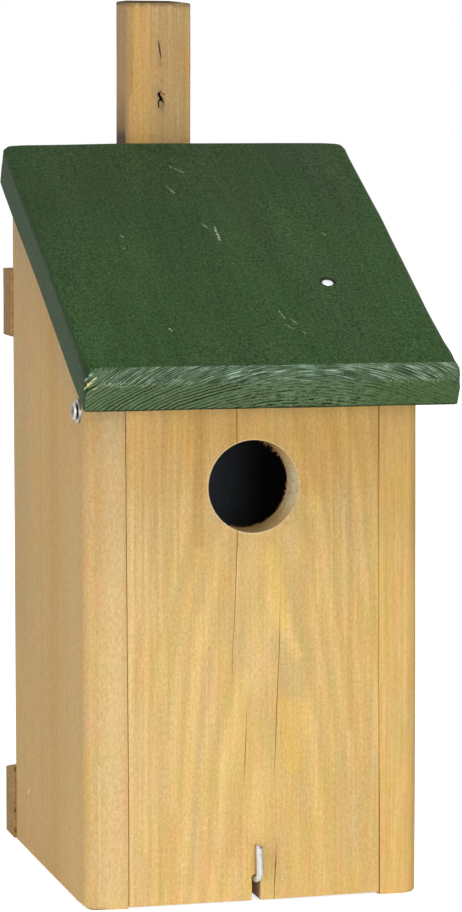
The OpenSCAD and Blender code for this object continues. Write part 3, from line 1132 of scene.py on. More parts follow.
def fit_side_board(bm, side, low, high):
    """Moves a side board's inner edge to its seam, frees the panel's swing and slants the back edge.

    side is -1 for the left board and 1 for the right one, whose outer edge also leans.
    """
    clearance, foot_lean, top_lean = 0.7 * MM, 0.3 * MM, 0.75 * MM
    inner, outer = (low.x, high.x) if side > 0 else (high.x, low.x)
    for vert in bm.verts:
        at_seam = ramp(abs(vert.co.x - inner), 8 * MM, 2 * MM)
        at_front = ramp(vert.co.y, low.y + BOARD, low.y + 12 * MM)
        relief = ramp(vert.co.z, 138 * MM, 148 * MM) * ramp(vert.co.y, low.y + 2 * MM, low.y + 7 * MM)
        relief *= at_seam * ramp(vert.co.y, low.y + 60 * MM, low.y + 50 * MM)
        if side > 0:
            vert.co.x += right_seam_shift(vert.co, low.y) * at_seam
            lean = foot_lean - top_lean * ramp(vert.co.z, 60 * MM, 170 * MM)
            vert.co.x += lean * ramp(vert.co.x, inner + 6 * MM, outer - 2 * MM)
        else:
            vert.co.x += left_seam_shift(vert.co, low.y) * at_seam * at_front
        vert.co.x += side * clearance * relief
        closed = timber().seam_close - seam_opening(side, vert.co.z)
        vert.co.x -= side * closed * at_seam * at_front
        if side < 0:
            back = ramp(vert.co.y, high.y - 24 * MM, high.y)
            vert.co.y -= BACK_SLANT * MM * back * ramp(vert.co.z, SLANT_TOP * MM, low.z)


class NESTBOX_OT_side_boards(bpy.types.Operator):
    """Models the two side boards, with a broad rounded outer front edge and the pivot's hole"""

    bl_idname = "nestbox.side_boards"
    bl_label = "Side boards"

    def execute(self, context):
        sizes = timber()
        pivot = Vector(JOINTS["front_pivot"]["pos_m"])
        for side, node in ((-1, "left_side_board"), (1, "right_side_board")):
            low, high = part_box(node)
            outer = high.x if side > 0 else low.x
            broad, small = sizes.front_arris, sizes.board_arris

            def radii_at(place):
                forward = ramp(place.y, high.y, low.y)
                if side < 0 and place.z < low.z + 4 * MM and place.x < (low.x + high.x) / 2:
                    worn = small + 1.2 * MM * forward
                    return (max(worn, broad if place.y < low.y + broad else 0), worn, worn * 1.4)
                if place.y > low.y + broad:
                    return (small, small, small)
                plan = broad if abs(place.x - outer) < broad else sizes.seam_arris
                return (plan, plan, small)

            bm = box_mesh(low, high)
            rounds = (small, broad) if side > 0 else (broad, small)
            bisect(bm, 0, cut_places(low.x, high.x, *rounds, 5 * MM, 4))
            bisect(bm, 1, cut_places(low.y, high.y, broad, small, 9 * MM, 4))
            bisect(bm, 2, cut_places(low.z, high.z, 2.4 * MM, small, 9 * MM))
            round_off(bm, low, high, radii_at)
            waver(bm, (0.03 * MM, sizes.wobble, sizes.wobble), 30 * MM, 3.0 * side)
            fit_side_board(bm, side, low, high)
            trim_to_roof(bm, high)
            piece = loose_object(f"{node}_wood", bm)
            middle = axis_place(((low.x + high.x) / 2, pivot.y, pivot.z), (1, 0, 0))
            carve(piece, [drill(SCREW_SHANK + 0.08 * MM, -20 * MM, 20 * MM, middle)])
            if side < 0:
                shades = (colours().side, colours().side_ring)
                traits = {"streaks": LEFT_STREAKS, "contrast": 0.3, "extra": weathered_and_shaded}
                traits.update(lines=0.24, fleck=0.3, pore=0.3)
            else:
                shades = (colours().right, colours().right_ring)
                traits = {"streaks": RIGHT_STREAKS, "contrast": 0.7, "extra": brown_seam, "lines": 1.0}
                traits.update(fleck=0.16, pore=0.16)
            name = "left board pine" if side < 0 else "right board pine"
            wood = pine(name, "Z", (side * 95.0, 14.0), 0.02, 2.9, *shades, 21.0 + side, **traits)
            finish_piece(piece, "box", wood, [node])
        return {"FINISHED"}


# Drying cracks in the front panel: points across and up, each with its half width, in mm
PANEL_CRACKS = (
    ((-6.1, 181.5, 0.15), (-6.0, 162.0, 0.14), (-5.9, 158.0, 0.14)),
    (
        (-5.85, 131.5, 0.15),
        (-5.8, 126.0, 0.14),
        (-6.3, 110.0, 0.12),
        (-6.8, 97.0, 0.10),
        (-7.3, 89.0, 0.07),
        (-7.6, 75.0, 0.02),
    ),
    ((9.5, 112.0, 0.03), (9.4, 92.0, 0.11), (8.4, 67.0, 0.13), (7.9, 52.0, 0.11), (7.6, 42.5, 0.02)),
    ((-2.1, 72.5, 0.02), (-2.6, 57.0, 0.11), (-2.9, 50.0, 0.12), (-3.3, 40.5, 0.02)),
    ((8.5, 21.0, 0.02), (8.4, 16.5, 0.11), (8.2, 12.5, 0.2), (7.9, 7.5, 0.15), (7.6, 0.0, 0.1)),
)


def crack_cutter(points, top, depth, at):
    """A wedge that follows a crack. at turns a place across, up and out of the face into a point."""
    bm = bmesh.new()
    sections = []
    for across, up, half in points:
        half, across, up = half * MM, across * MM, up * MM
        sections.append(
            [at(across - half, up, top), at(across + half, up, top), at(across + half * 0.3, up, -depth)]
        )
    sweep(bm, sections)
    return bm


def entrance_cutter(low, high):
    """A round cutter through the front panel, flared a little where it leaves the two faces."""
    hole_low, hole_high = (Vector(corner) for corner in OPENINGS["entrance_hole"])
    centre = (hole_low + hole_high) / 2
    flare, past = 0.12 * MM, 1 * MM
    radius = timber().hole_radius
    half = (high.y - low.y) / 2
    profile = [(0, -half - past), (radius + flare + past, -half - past)]
    profile += arc((radius + flare, -half + flare), flare, 270, 180, 4)
    profile += arc((radius + flare, half - flare), flare, 180, 90, 4)
    profile += [(radius + flare + past, half + past), (0, half + past)]
    hole = lathe(profile, 96)
    middle = Matrix.Translation((centre.x, (low.y + high.y) / 2, centre.z))
    hole.transform(middle @ Matrix.Rotation(-math.pi / 2, 4, "X"))
    return hole


def notch_cutter(low, high):
    """A cutter for the notch that the hook's shank stands in, round above and open below."""
    hook = Vector(JOINTS["hook_turn"]["pos_m"])
    half, lip, aside, past = 1.65 * MM, 0.2 * MM, 0.17 * MM, 1 * MM
    outline = [(hook.x + half + aside, low.z - past)]
    outline += arc((hook.x + aside, hook.z), half, 0, 195, 12)
    left = hook.x - half + aside
    outline += [(left + lip, hook.z - 2.4 * MM), (left + lip * 0.3, low.z - past)]
    notch = bmesh.new()
    sweep(notch, [[(x, y, z) for x, z in outline] for y in (low.y - past, high.y + past)])
    return notch


def panel_cutters(low, high):
    """The entrance hole, the notch, the screws' holes and the cracks of the front panel."""
    pivot = Vector(JOINTS["front_pivot"]["pos_m"])
    tight = SCREW_SHANK + 0.04 * MM
    driven = [
        drill(tight, -15.1 * MM, BOARD, axis_place((side * high.x, pivot.y, pivot.z), (1, 0, 0)), 26)
        for side in (-1, 1)
    ]
    cracks = [
        crack_cutter(points, 0.5 * MM, 7 * MM, lambda across, up, out: (across, low.y - out, up))
        for points in PANEL_CRACKS
    ]
    return [entrance_cutter(low, high), notch_cutter(low, high), *driven, *cracks]


def bored(recipe, colour, place, facing):
    """Painted light on the wall of the entrance hole and a painted highlight round its front edge, slightly
    singed wood beside it, browner seams, yellower wood to the right, and painted shade and light on the top
    of the panel below the eave.
    """
    hole_low, hole_high = (Vector(corner) / MM for corner in OPENINGS["entrance_hole"])
    centre = (hole_low + hole_high) / 2
    across, _, up = recipe.parts(place)
    beside, above = across - centre.x, up - centre.z
    off = (beside * beside + above * above) ** 0.5
    radius = timber().hole_radius / MM
    colour = recipe.blend(recipe.band(across, -30, 45), colour, (0.985, 0.975, 0.90), "MULTIPLY")
    # Painted shade of the eave: the panel's top darker and warmer from 135 mm up to the roof, a little more
    # from 146 to 162 mm
    colour = recipe.blend(recipe.band(up, 135, 172), colour, (0.99, 0.92, 0.83), "MULTIPLY")
    eave_shade_band = recipe.band(up, 136, 146) * recipe.band(up, 171, 162)
    colour = recipe.blend(eave_shade_band, colour, (0.96, 0.92, 0.86), "MULTIPLY")
    cut_face = recipe.band(abs(facing[0]), 0.6, 0.9)
    cut_face = cut_face * recipe.band(off, radius + 1.0, radius + 1.5)
    at_notch = recipe.band(abs(across - 1.2), 5, 3) * recipe.band(up, 30, 24)
    colour = recipe.blend(cut_face * (1.0 - at_notch), colour, (0.92, 0.78, 0.44), "MULTIPLY")
    colour = recipe.blend(cut_face * at_notch * 0.9, colour, tint(218, 190, 148))
    inside = recipe.band(off, radius + 0.7, radius + 0.35)
    inside = inside * recipe.band(abs(facing[1]), 0.8, 0.4)
    side_grain = recipe.band(abs(facing[2]), 0.85, 0.35)
    nap = recipe.noise(place, (0.5, 5, 0.9), 41.0, 2)
    # Painted light on the wall of the entrance hole: paler on its side grain, palest at mid height, and
    # brighter though browner at its foot
    colour = recipe.blend(inside * side_grain * 0.95, colour, tint(255, 232, 180))
    sunlit = inside * recipe.band(abs(above + 1.5), 9, 4)
    colour = recipe.blend(sunlit * 0.8, colour, tint(255, 240, 198))
    colour = recipe.blend(inside * recipe.band(above, -8, -14) * 0.6, colour, tint(250, 212, 150))
    colour = recipe.blend(inside * recipe.band(nap, 0.5, 0.66) * 0.5, colour, tint(214, 170, 110))
    singed = recipe.band(off, radius + 3.2, radius + 0.6) * recipe.band(beside, 6, 13)
    singed = singed * recipe.band(recipe.noise(place, (1.1, 9, 2.6), 43.0, 2), 0.52, 0.66)
    colour = recipe.blend(singed * (1.0 - inside) * 0.5, colour, tint(176, 148, 112))
    # Painted highlight: a pale ring on the hole's front edge, stronger on its left
    rim = recipe.band(abs(off - radius - 0.15), 0.45, 0.1)
    colour = recipe.blend(rim * (0.55 - recipe.band(beside, 0, 10) * 0.35), colour, tint(250, 228, 180))
    # Painted light: the wood 10 % brighter in the last 11 mm below the eave, where the roof's shadow falls
    eave_painted_light = recipe.band(up, 164, 175)
    return recipe.blend(eave_painted_light, colour, (1.1, 1.1, 1.1), "MULTIPLY")


class NESTBOX_OT_front_panel(bpy.types.Operator):
    """Models the front panel with its entrance hole, its notch and its drying cracks"""

    bl_idname = "nestbox.front_panel"
    bl_label = "Front panel"

    def execute(self, context):
        sizes = timber()
        low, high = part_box("front_panel")
        arris, foot_rise = sizes.seam_arris, 0.45 * MM
        bm = box_mesh(low, high)
        for axis in range(3):
            bisect(bm, axis, cut_places(low[axis], high[axis], arris, arris, 7 * MM))
        round_off(bm, low, high, lambda place: (arris, arris, arris))
        waver(bm, (0, sizes.wobble, 0.06 * MM), 30 * MM, 8.0)
        for vert in bm.verts:
            vert.co.x += right_seam_shift(vert.co, low.y) * ramp(vert.co.x, 0, high.x - 1 * MM)
            vert.co.x += left_seam_shift(vert.co, low.y) * ramp(vert.co.x, 0, low.x + 1 * MM)
            vert.co.x *= 1 + sizes.seam_close / high.x
            foot = ramp(vert.co.z, low.z + 12 * MM, low.z)
            vert.co.z += foot_rise * foot * ramp(vert.co.x, 5 * MM, high.x)
        piece = loose_object("front_panel_wood", bm)
        carve(piece, panel_cutters(low, high))
        shades = (colours().pine, colours().pine_ring)
        traits = {"streaks": FRONT_STREAKS, "contrast": 0.95, "extra": bored, "lines": 0.72, "fleck": 0.38}
        wood = pine("front pine", "Z", (5.0, -42.0), 0.12, 4.6, *shades, 4.0, **traits)
        finish_piece(piece, "front_panel", wood, ["front_panel"])
        return {"FINISHED"}


class NESTBOX_OT_hole_splinters(bpy.types.Operator):
    """Leaves torn fibres on the inner rim of the entrance hole"""

    bl_idname = "nestbox.hole_splinters"
    bl_label = "Hole splinters"

    def execute(self, context):
        back_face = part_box("front_panel")[1].y
        hole_low, hole_high = (Vector(corner) for corner in OPENINGS["entrance_hole"])
        centre = (hole_low + hole_high) / 2
        chance = random.Random(5)
        bm = bmesh.new()
        # Long fibres at the upper right, a short ragged fringe along the bottom
        fibres = [(chance.uniform(36, 66), chance.uniform(0.4, 1.7), 0.16) for _ in range(34)]
        fibres += [(chance.uniform(-130, 30), chance.uniform(0.35, 1.0), 0.22) for _ in range(90)]
        fibres += [(chance.uniform(70, 220), chance.uniform(0.1, 0.3), 0.2) for _ in range(40)]
        for angle, reach, half in fibres:
            turn = math.radians(angle)
            out = Vector((math.cos(turn), 0, math.sin(turn)))
            beside = Vector((-math.sin(turn), 0, math.cos(turn)))
            lean = beside * chance.uniform(-0.5, 0.5)
            root = Vector((centre.x, back_face - chance.uniform(0.3, 1.2) * MM, centre.z))
            root += out * (timber().hole_radius + 0.25 * MM)
            half, reach = half * MM * chance.uniform(0.6, 1.3), reach * MM
            back = Vector((0, chance.uniform(0.2, 0.9), 0))
            sections = []
            for share, width in ((0, 1), (0.5, 0.75), (1, 0.15)):
                at = root + (-out + lean + back * share) * reach * share
                across = beside * half * width
                sections.append([at - across, at + across, at + Vector((0, half * width, 0))])
            sweep(bm, sections)
        piece = loose_object("hole_splinters", bm)
        shades = (tint(190, 146, 88), tint(140, 98, 54))
        wood = pine("torn fibre", "Z", (5.0, -42.0), 0.12, 3.0, *shades, 6.0)
        finish_piece(piece, "front_panel", wood, sharp=60)
        return {"FINISHED"}


def chamber_shade(recipe, colour, place, facing):
    """Painted shade: greyer, darker wood on the face that looks into the nest chamber, for the dark inside.
    """
    return recipe.blend(recipe.band(facing[1], -0.4, -0.8) * 0.9, colour, tint(92, 112, 132))


class NESTBOX_OT_inner_boards(bpy.types.Operator):
    """Models the back board and the floor board"""

    bl_idname = "nestbox.inner_boards"
    bl_label = "Back and floor boards"

    def execute(self, context):
        arris = 0.4 * MM
        shades = (colours().rough, colours().rough_ring)
        low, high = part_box("back_board")
        bm = plank(low, high, arris, 9 * MM, 12.0)
        trim_to_roof(bm, high)
        wood = pine("back pine", "Z", (4.0, 90.0), 0.05, 3.2, *shades, 31.0, rough=0.5, extra=chamber_shade)
        finish_piece(loose_object("back_board_wood", bm), "box", wood, ["back_board"])

        low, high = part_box("floor_board")
        piece = loose_object("floor_board_wood", plank(low, high, arris, 9 * MM, 15.0))
        hook = Vector(JOINTS["hook_turn"]["pos_m"])
        radius = timber().hook_wire / 2 + 0.08 * MM
        carve(piece, [drill(radius, -1 * MM, 16 * MM, axis_place((hook.x, low.y, hook.z), (0, 1, 0)))])
        wood = pine("floor pine", "X", (-30.0, 10.0), 0.03, 2.8, *shades, 35.0, rough=0.5)
        finish_piece(piece, "box", wood, ["floor_board"])
        return {"FINISHED"}


# ---------------------------------------------------------------- roof

# Fine cracks in the roof's top: points across and up the slope, each with its half width, in mm
ROOF_CRACKS = (
    ((9.0, 134.5, 0.02), (9.3, 122.0, 0.06), (9.6, 111.0, 0.02)),
    ((9.6, 57.0, 0.02), (10.4, 44.0, 0.10), (11.2, 32.0, 0.10), (11.7, 24.0, 0.02)),
)


def wear_roof(bm, low, high):
    """Wears the roof's right edge, lets its left one reach out at the back and shortens the left back end."""
    right_wear, left_reach, shorter = 1.5 * MM, 0.45 * MM, 1.85 * MM
    for vert in bm.verts:
        across, up, above = vert.co
        worn = ramp(up, 108 * MM, 40 * MM) * ramp(up, 3 * MM, 20 * MM) * ramp(above, 6 * MM, high.z)
        vert.co.x -= right_wear * worn * ramp(across, high.x - 7 * MM, high.x)
        vert.co.x -= left_reach * ramp(across, low.x + 9 * MM, low.x) * ramp(up, 90 * MM, 125 * MM)
        short = ramp(across, -18 * MM, low.x) * ramp(up, high.y - 12 * MM, high.y)
        vert.co.y -= shorter * short


class NESTBOX_OT_roof(bpy.types.Operator):
    """Models the roof board with its rounded nose, softened edges, cracks and chips"""

    bl_idname = "nestbox.roof"
    bl_label = "Roof board"

    def execute(self, context):
        sizes = timber()
        origin, size = roof_place()
        low = Vector((-size.x / 2, 0, 0))
        high = Vector((size.x / 2, size.y, size.z))
        arris, corner, small = sizes.roof_arris, sizes.roof_corner, 0.8 * MM

        def radii_at(place):
            """The right edge is worn more and more towards the front, and both front corners are worn."""
            near_front = ramp(place.y, 12 * MM, 0)
            near_back = ramp(place.y, high.y - 10 * MM, high.y)
            near_end = ramp(abs(place.x), high.x - 8 * MM, high.x)
            if place.z < size.z / 2:
                across = small + (corner - small) * near_back * 0.8
                return (across, small + (corner - small) * near_end * near_back, small)
            if place.x > 0:
                across = arris + 1.8 * MM * ramp(place.y, size.y, 0) - 2.0 * MM * near_front
            else:
                across = arris + 4.6 * MM * near_front
            across += (corner - across) * near_back
            above = arris * (1 - near_back * 0.6)
            above += (sizes.nose_drop - above) * min(1, near_front * 1.6)
            in_front = place.y < size.y / 2
            slope = sizes.nose_back if in_front else small + (corner - small) * near_end
            return (across, slope, above)

        bm = box_mesh(low, high)
        bisect(bm, 0, cut_places(low.x, high.x, corner * 1.5, corner * 1.3, 3 * MM, 6))
        bisect(bm, 1, cut_places(low.y, high.y, sizes.nose_back, corner, 4 * MM, 6))
        bisect(bm, 2, cut_places(low.z, high.z, small, sizes.nose_drop, 2.5 * MM, 6))
        round_off(bm, low, high, radii_at)
        waver(bm, [0.16 * MM] * 3, 24 * MM, 2.0)
        wear_roof(bm, low, high)
        place = Matrix.Translation(origin) @ Matrix.Rotation(sizes.roof_slope, 4, "X")
        bm.transform(place)
        piece = loose_object("roof_board_painted", bm)

        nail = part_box("roof_nail")
        nail_top = place.inverted() @ ((nail[0] + nail[1]) / 2)
        nail_top.z = size.z
        profile = [(0, -0.8 * MM), (2.25 * MM, -0.8 * MM), (2.25 * MM, -0.35 * MM)]
        dimple = lathe([*profile, (2.9 * MM, 0.2 * MM), (0, 0.2 * MM)])
        dimple.transform(place @ Matrix.Translation(nail_top))
        cracks = [
            crack_cutter(
                points, 0.5 * MM, 1.2 * MM, lambda across, up, out: place @ Vector((across, up, size.z + out))
            )
            for points in ROOF_CRACKS
        ]
        carve(piece, [dimple, *cracks])
        finish_piece(piece, "box", garden_paint(), ["roof_board"])
        return {"FINISHED"}


# ---------------------------------------------------------------- battens


def torn_hole(x, y, z, depth):
    """The ragged slot that a nail tore in the upright batten, as a cutter through its thickness."""
    outline = (
        (-1.15, 1.25), (-0.33, 2.14), (0.23, 2.47), (-0.1, 1.25), (0.76, 0.16), (1.15, -1.8),
        (0.16, -0.82), (-0.5, -1.15), (-0.33, -3.1), (-0.82, -2.96), (-0.9, -1.0), (-0.33, 0.0),
    )
    bm = bmesh.new()
    levels = ((y - 1 * MM, 1.25), (y + 3 * MM, 0.95), (y + depth, 0.5))
    sweep(bm, [[(x + a * MM * grow, at, z + b * MM * grow) for a, b in outline] for at, grow in levels])
    return bm


def hanger_marks_and_shade(recipe, colour, place, facing):
    """Painted shade in the nail hole and the slit of the upright batten and low on its side face by the roof;
    a greyer side face, and a darker top end with a dark line along its top edge.
    """
    low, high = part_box("hanging_batten")
    across, deep, up = recipe.parts(place)
    roof_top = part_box("roof_board")[1].z / MM
    top_end = high.z / MM
    side = recipe.band(facing[0], -0.5, -0.9)
    colour = recipe.blend(side * 0.6, colour, tint(182, 151, 109))
    # Painted shade on the side face where the batten meets the roof: darker from 22 mm above the roof's top
    # down, nearly black just above it
    colour = recipe.blend(side * recipe.band(up, roof_top + 22, roof_top - 6) * 0.8, colour, tint(84, 62, 36))
    colour = recipe.blend(side * recipe.band(up, roof_top + 6, roof_top + 1) * 0.8, colour, tint(40, 28, 16))
    edge = recipe.noise(place, (0.8, 0.8, 3.0), 3.0, 2) * 1.6
    step_in = recipe.band(up, top_end - 37, top_end - 33) * -1.3
    wane = recipe.band(edge + across + step_in, -10.7, -11.2) * recipe.band(facing[1], -0.5, -0.9)
    colour = recipe.blend(wane * 0.75, colour, tint(178, 144, 94))
    turned = recipe.band(across, low.x / MM + 0.15, low.x / MM - 0.25) * recipe.band(facing[1], -0.5, -0.9)
    colour = recipe.blend(turned * 0.85, colour, tint(160, 132, 98))
    top_edge_noise = recipe.noise(place, (1.6, 1.6, 0.9), 6.0, 2) * 3.2
    top = recipe.band(up + top_edge_noise, top_end - 0.4, top_end + 1.2)
    colour = recipe.blend(top * 0.7, colour, tint(112, 96, 72))
    outline = recipe.band(up, top_end - 0.55, top_end - 0.1)
    colour = recipe.blend(outline * 0.85, colour, tint(56, 48, 38))
    # Painted shade: dark inside the nail hole and the slit
    depth = recipe.band(deep, low.y / MM + 0.35, low.y / MM + 1.0)
    depth = depth * recipe.band(deep, high.y / MM - 0.3, high.y / MM - 1.0)
    hole_and_slit_shade = depth * recipe.band(abs(across), 3.5, 2.5)
    hole_and_slit_shade = hole_and_slit_shade * recipe.band(up, top_end - 44, top_end - 41) * recipe.band(up, top_end - 8, top_end - 12)
    return recipe.blend(hole_and_slit_shade * 0.9, colour, tint(52, 38, 26))


def toothed_edge(recipe, colour, place, facing):
    """Along the front of a cross batten's left end, ragged dark teeth as painted shadow of the gap behind the
    side board, and darker blotches on its end grain.
    """
    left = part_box("lower_cross_batten")[0].x / MM
    across, _, up = recipe.parts(place)
    front_face = recipe.band(facing[1], -0.5, -0.9) * recipe.band(across, left + 9, left + 7)
    front_face = front_face * recipe.band(up, 60, 56)
    colour = recipe.blend(front_face * 0.9, colour, tint(196, 156, 98))
    # Painted shadow of the gap behind the side board: ragged dark teeth along the front of the end
    torn = front_face * recipe.band(recipe.noise(place, (2.5, 9, 2.6), 61.0, 3), 0.54, 0.62)
    blotch = recipe.band(recipe.noise(place, (3, 3, 5), 63.0, 2), 0.45, 0.65)
    blotch = blotch * recipe.band(facing[0], -0.6, -0.9)
    colour = recipe.blend(blotch * 0.4, colour, tint(122, 100, 52))
    return recipe.blend(torn * 0.7, colour, tint(84, 60, 30))


# Each cross batten's node, how much longer its left end is, how dark its end grain is, and its seed
CROSS_BATTENS = (
    ("upper_cross_batten", 0.9 * MM, 0.65, 41.0),
    ("lower_cross_batten", 0.6 * MM, 0.33, 47.0),
)
# The slit in the upright batten: points across and up, each with its half width, in mm
SLIT = ((-0.5, 299.6, 0.05), (-0.2, 297.6, 0.26), (0.3, 294.4, 0.28), (0.6, 292.2, 0.08))


class NESTBOX_OT_battens(bpy.types.Operator):
    """Models the cross battens and the upright hanging batten with its two nail scars"""

    bl_idname = "nestbox.battens"
    bl_label = "Battens"

    def execute(self, context):
        arris = 0.5 * MM
        shades = (colours().rough, colours().rough_ring)
        down, droop = 0.8 * MM, 2.4 * MM
        for node, longer, end, seed in CROSS_BATTENS:
            low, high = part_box(node)
            start = Vector((low.x - longer, low.y, max(low.z - down, 0)))
            bm = plank(start, high - Vector((0, 0, down)), arris, 8 * MM, seed)
            for vert in bm.verts:
                if node == "lower_cross_batten":
                    near = ramp(vert.co.x, low.x + 16 * MM, low.x)
                    back = ramp(vert.co.y, low.y, high.y)
                    upper = ramp(vert.co.z, low.z + 11 * MM, high.z)
                    vert.co.z -= droop * near * back * upper
            heart = (low.z / MM - 20, low.y / MM + 30)
            traits = {"rough": 1.0, "end": end, "fleck": 0.5, "pore": 0.5, "extra": toothed_edge}
            wood = pine(node.replace("_", " "), "X", heart, 0.02, 2.6, *shades, seed, **traits)
            finish_piece(loose_object(f"{node}_wood", bm), "box", wood, [node])

        low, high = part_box("hanging_batten")
        hole = Vector(frame["record"]["mounts"][0]["pos_m"])
        further_left, narrower, taller, worn_off = 0.85 * MM, 0.4 * MM, 0.5 * MM, 0.9 * MM
        low.x, high.x, high.z = low.x - further_left, high.x - narrower, high.z + taller
        bm = plank(low, high, arris, 8 * MM, 53.0)
        for vert in bm.verts:
            worn = ramp(vert.co.x, high.x - 4 * MM, high.x) * ramp(vert.co.z, high.z - 3 * MM, high.z)
            vert.co.z -= worn_off * worn
        piece = loose_object("hanging_batten_wood", bm)
        slit = crack_cutter(SLIT, 0.5 * MM, 4 * MM, lambda across, up, out: (across, low.y - out, up))
        carve(piece, [torn_hole(hole.x + 0.4 * MM, low.y, hole.z, high.y - low.y + 1 * MM), slit])
        shades = (colours().hanger, colours().hanger_ring)
        traits = {"streaks": HANGER_STREAKS, "contrast": 0.45, "rough": 0.25, "extra": hanger_marks_and_shade}
        wood = pine("hanging batten pine", "Z", (-36.0, 96.0), 0.01, 3.0, *shades, 57.0, **traits)
        finish_piece(piece, "box", wood, ["hanging_batten"])
        return {"FINISHED"}


# ---------------------------------------------------------------- metal


def recess(depth, reach, place):
    """A cross recess for a screwdriver, as two crossed wedges that open along a frame's Z."""
    wedges = []
    for turn in (0, math.pi / 2):
        bm = box_mesh((-reach, -0.28 * MM, -depth), (reach, 0.28 * MM, 0.6 * MM))
        for vert in bm.verts:
            if vert.co.z < 0:
                vert.co.x *= 0.35
                vert.co.y *= 0.6
        bm.transform(Matrix.Rotation(turn + 0.4, 4, "Z"))
        bm.transform(place)
        wedges.append(bm)
    return wedges


class NESTBOX_OT_pivots(bpy.types.Operator):
    """Models the pan head screw with its washer, and the pin, on which the front panel swings"""

    bl_idname = "nestbox.pivots"
    bl_label = "Pivots"

    def execute(self, context):
        pivot = Vector(JOINTS["front_pivot"]["pos_m"])
        steel = plated_steel("zinc plate", tint(160, 156, 152), 0.3, 0.8, socket=(pivot, 3.1))
        head_steel = plated_steel("worn screw steel", tint(196, 196, 192), 0.26, 0.6, socket=(pivot, 2.4))
        low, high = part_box("pivot_screw_left")
        radius, tip = (high.z - low.z) / 2, low.x - high.x
        profile = [(0, -0.7 * MM), (radius * 0.5, -0.74 * MM), (radius * 0.78, -0.86 * MM)]
        profile += [(radius * 0.94, -1.15 * MM), (radius, -1.45 * MM), (radius * 0.96, -1.75 * MM)]
        profile += [(SCREW_SHANK, -1.75 * MM), (SCREW_SHANK, tip + 4 * MM), (0, tip)]
        screw = lathe(profile)
        place = axis_place((low.x, pivot.y, pivot.z), (-1, 0, 0))
        screw.transform(place)
        piece = loose_object("pivot_screw_left_steel", screw)
        carve(piece, recess(1.8 * MM, 1.8 * MM, place))
        finish_piece(piece, "front_panel", head_steel, ["pivot_screw_left"], sharp=40)

        low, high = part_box("washer_left")
        outer, inner, thick = (high.z - low.z) / 2, 2.0 * MM, high.x - low.x
        edge = 0.22 * MM
        profile = [(inner, 0), (outer, 0), (outer, thick - edge), (outer - edge, thick)]
        profile += [(inner + edge, thick), (inner, thick - edge)]
        washer = lathe(profile)
        washer.transform(axis_place((high.x, pivot.y, pivot.z), (-1, 0, 0)))
        piece = loose_object("washer_left_steel", washer)
        finish_piece(piece, "box", steel, ["washer_left"], sharp=40)

        low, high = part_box("pivot_pin_right")
        length = high.x - low.x
        profile = [(0, 0), (SCREW_SHANK - 0.3 * MM, 0), (SCREW_SHANK, -0.3 * MM)]
        profile += [(SCREW_SHANK, 2 * MM - length), (0, -length)]
        pin = lathe(profile)
        pin.transform(axis_place((high.x, pivot.y, pivot.z), (1, 0, 0)))
        piece = loose_object("pivot_pin_right_steel", pin)
        finish_piece(piece, "front_panel", head_steel, ["pivot_pin_right"], sharp=40)
        return {"FINISHED"}


def head_behind(low, high):
    """The frame of a head that was driven from behind: on the back of a box, with Z outwards."""
    return axis_place(((low.x + high.x) / 2, high.y, (low.z + high.z) / 2), (0, 1, 0))


def batten_nail(node, steel):
    """A nail with a flat head, driven through a batten from behind."""
    low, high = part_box(node)
    tip = low.y - high.y
    profile = [(0, 0), (1.8 * MM, -0.02 * MM), (2.2 * MM, -0.2 * MM), (2.15 * MM, -0.6 * MM)]
    profile += [(NAIL_SHANK, -0.62 * MM), (NAIL_SHANK, tip + 3 * MM), (0, tip)]
    nail = lathe(profile)
    nail.transform(head_behind(low, high))
    finish_piece(loose_object(f"{node}_steel", nail), "box", steel, [node], sharp=40)


def batten_screw(node, steel):
    """A countersunk screw with a cross recess, driven through a batten from behind."""
    low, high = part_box(node)
    radius, tip = (high.z - low.z) / 2, low.y - high.y
    profile = [(0, 0), (radius - 0.2 * MM, 0), (radius, -0.15 * MM), (SCREW_SHANK, SCREW_SHANK - radius)]
    profile += [(SCREW_SHANK, tip + 4 * MM), (0, tip)]
    screw = lathe(profile)
    place = head_behind(low, high)
    screw.transform(place)
    piece = loose_object(f"{node}_steel", screw)
    carve(piece, recess(1.3 * MM, 2.0 * MM, place))
    finish_piece(piece, "box", steel, [node], sharp=40)


class NESTBOX_OT_nails(bpy.types.Operator):
    """Models the roof nail, the batten nails and the batten screws"""

    bl_idname = "nestbox.nails"
    bl_label = "Nails and batten screws"

    def execute(self, context):
        bright = plated_steel("bright nail", tint(238, 240, 242), 0.24, 0.15)
        dull = plated_steel("dull zinc", tint(188, 190, 190), 0.34, 0.8)
        origin, size = roof_place()
        tilt = Matrix.Rotation(timber().roof_slope, 4, "X")
        low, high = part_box("roof_nail")
        roof = Matrix.Translation(origin) @ tilt
        centre = roof.inverted() @ ((low + high) / 2)
        centre.z = size.z - 0.05 * MM
        profile = [(0, 0), (1.2 * MM, -0.04 * MM), (1.9 * MM, -0.16 * MM), (2.15 * MM, -0.4 * MM)]
        profile += [(2.15 * MM, -0.6 * MM), (NAIL_SHANK, -0.62 * MM), (NAIL_SHANK, -12 * MM), (0, -12.6 * MM)]
        nail = lathe(profile)
        nail.transform(roof @ Matrix.Translation(centre))
        piece = loose_object("roof_nail_steel", nail)
        finish_piece(piece, "box", bright, ["roof_nail"], sharp=50)
        for level in ("upper", "lower"):
            for side in ("left", "right"):
                batten_nail(f"{level}_nail_{side}", dull)
            batten_screw(f"{level}_batten_screw", dull)
        return {"FINISHED"}


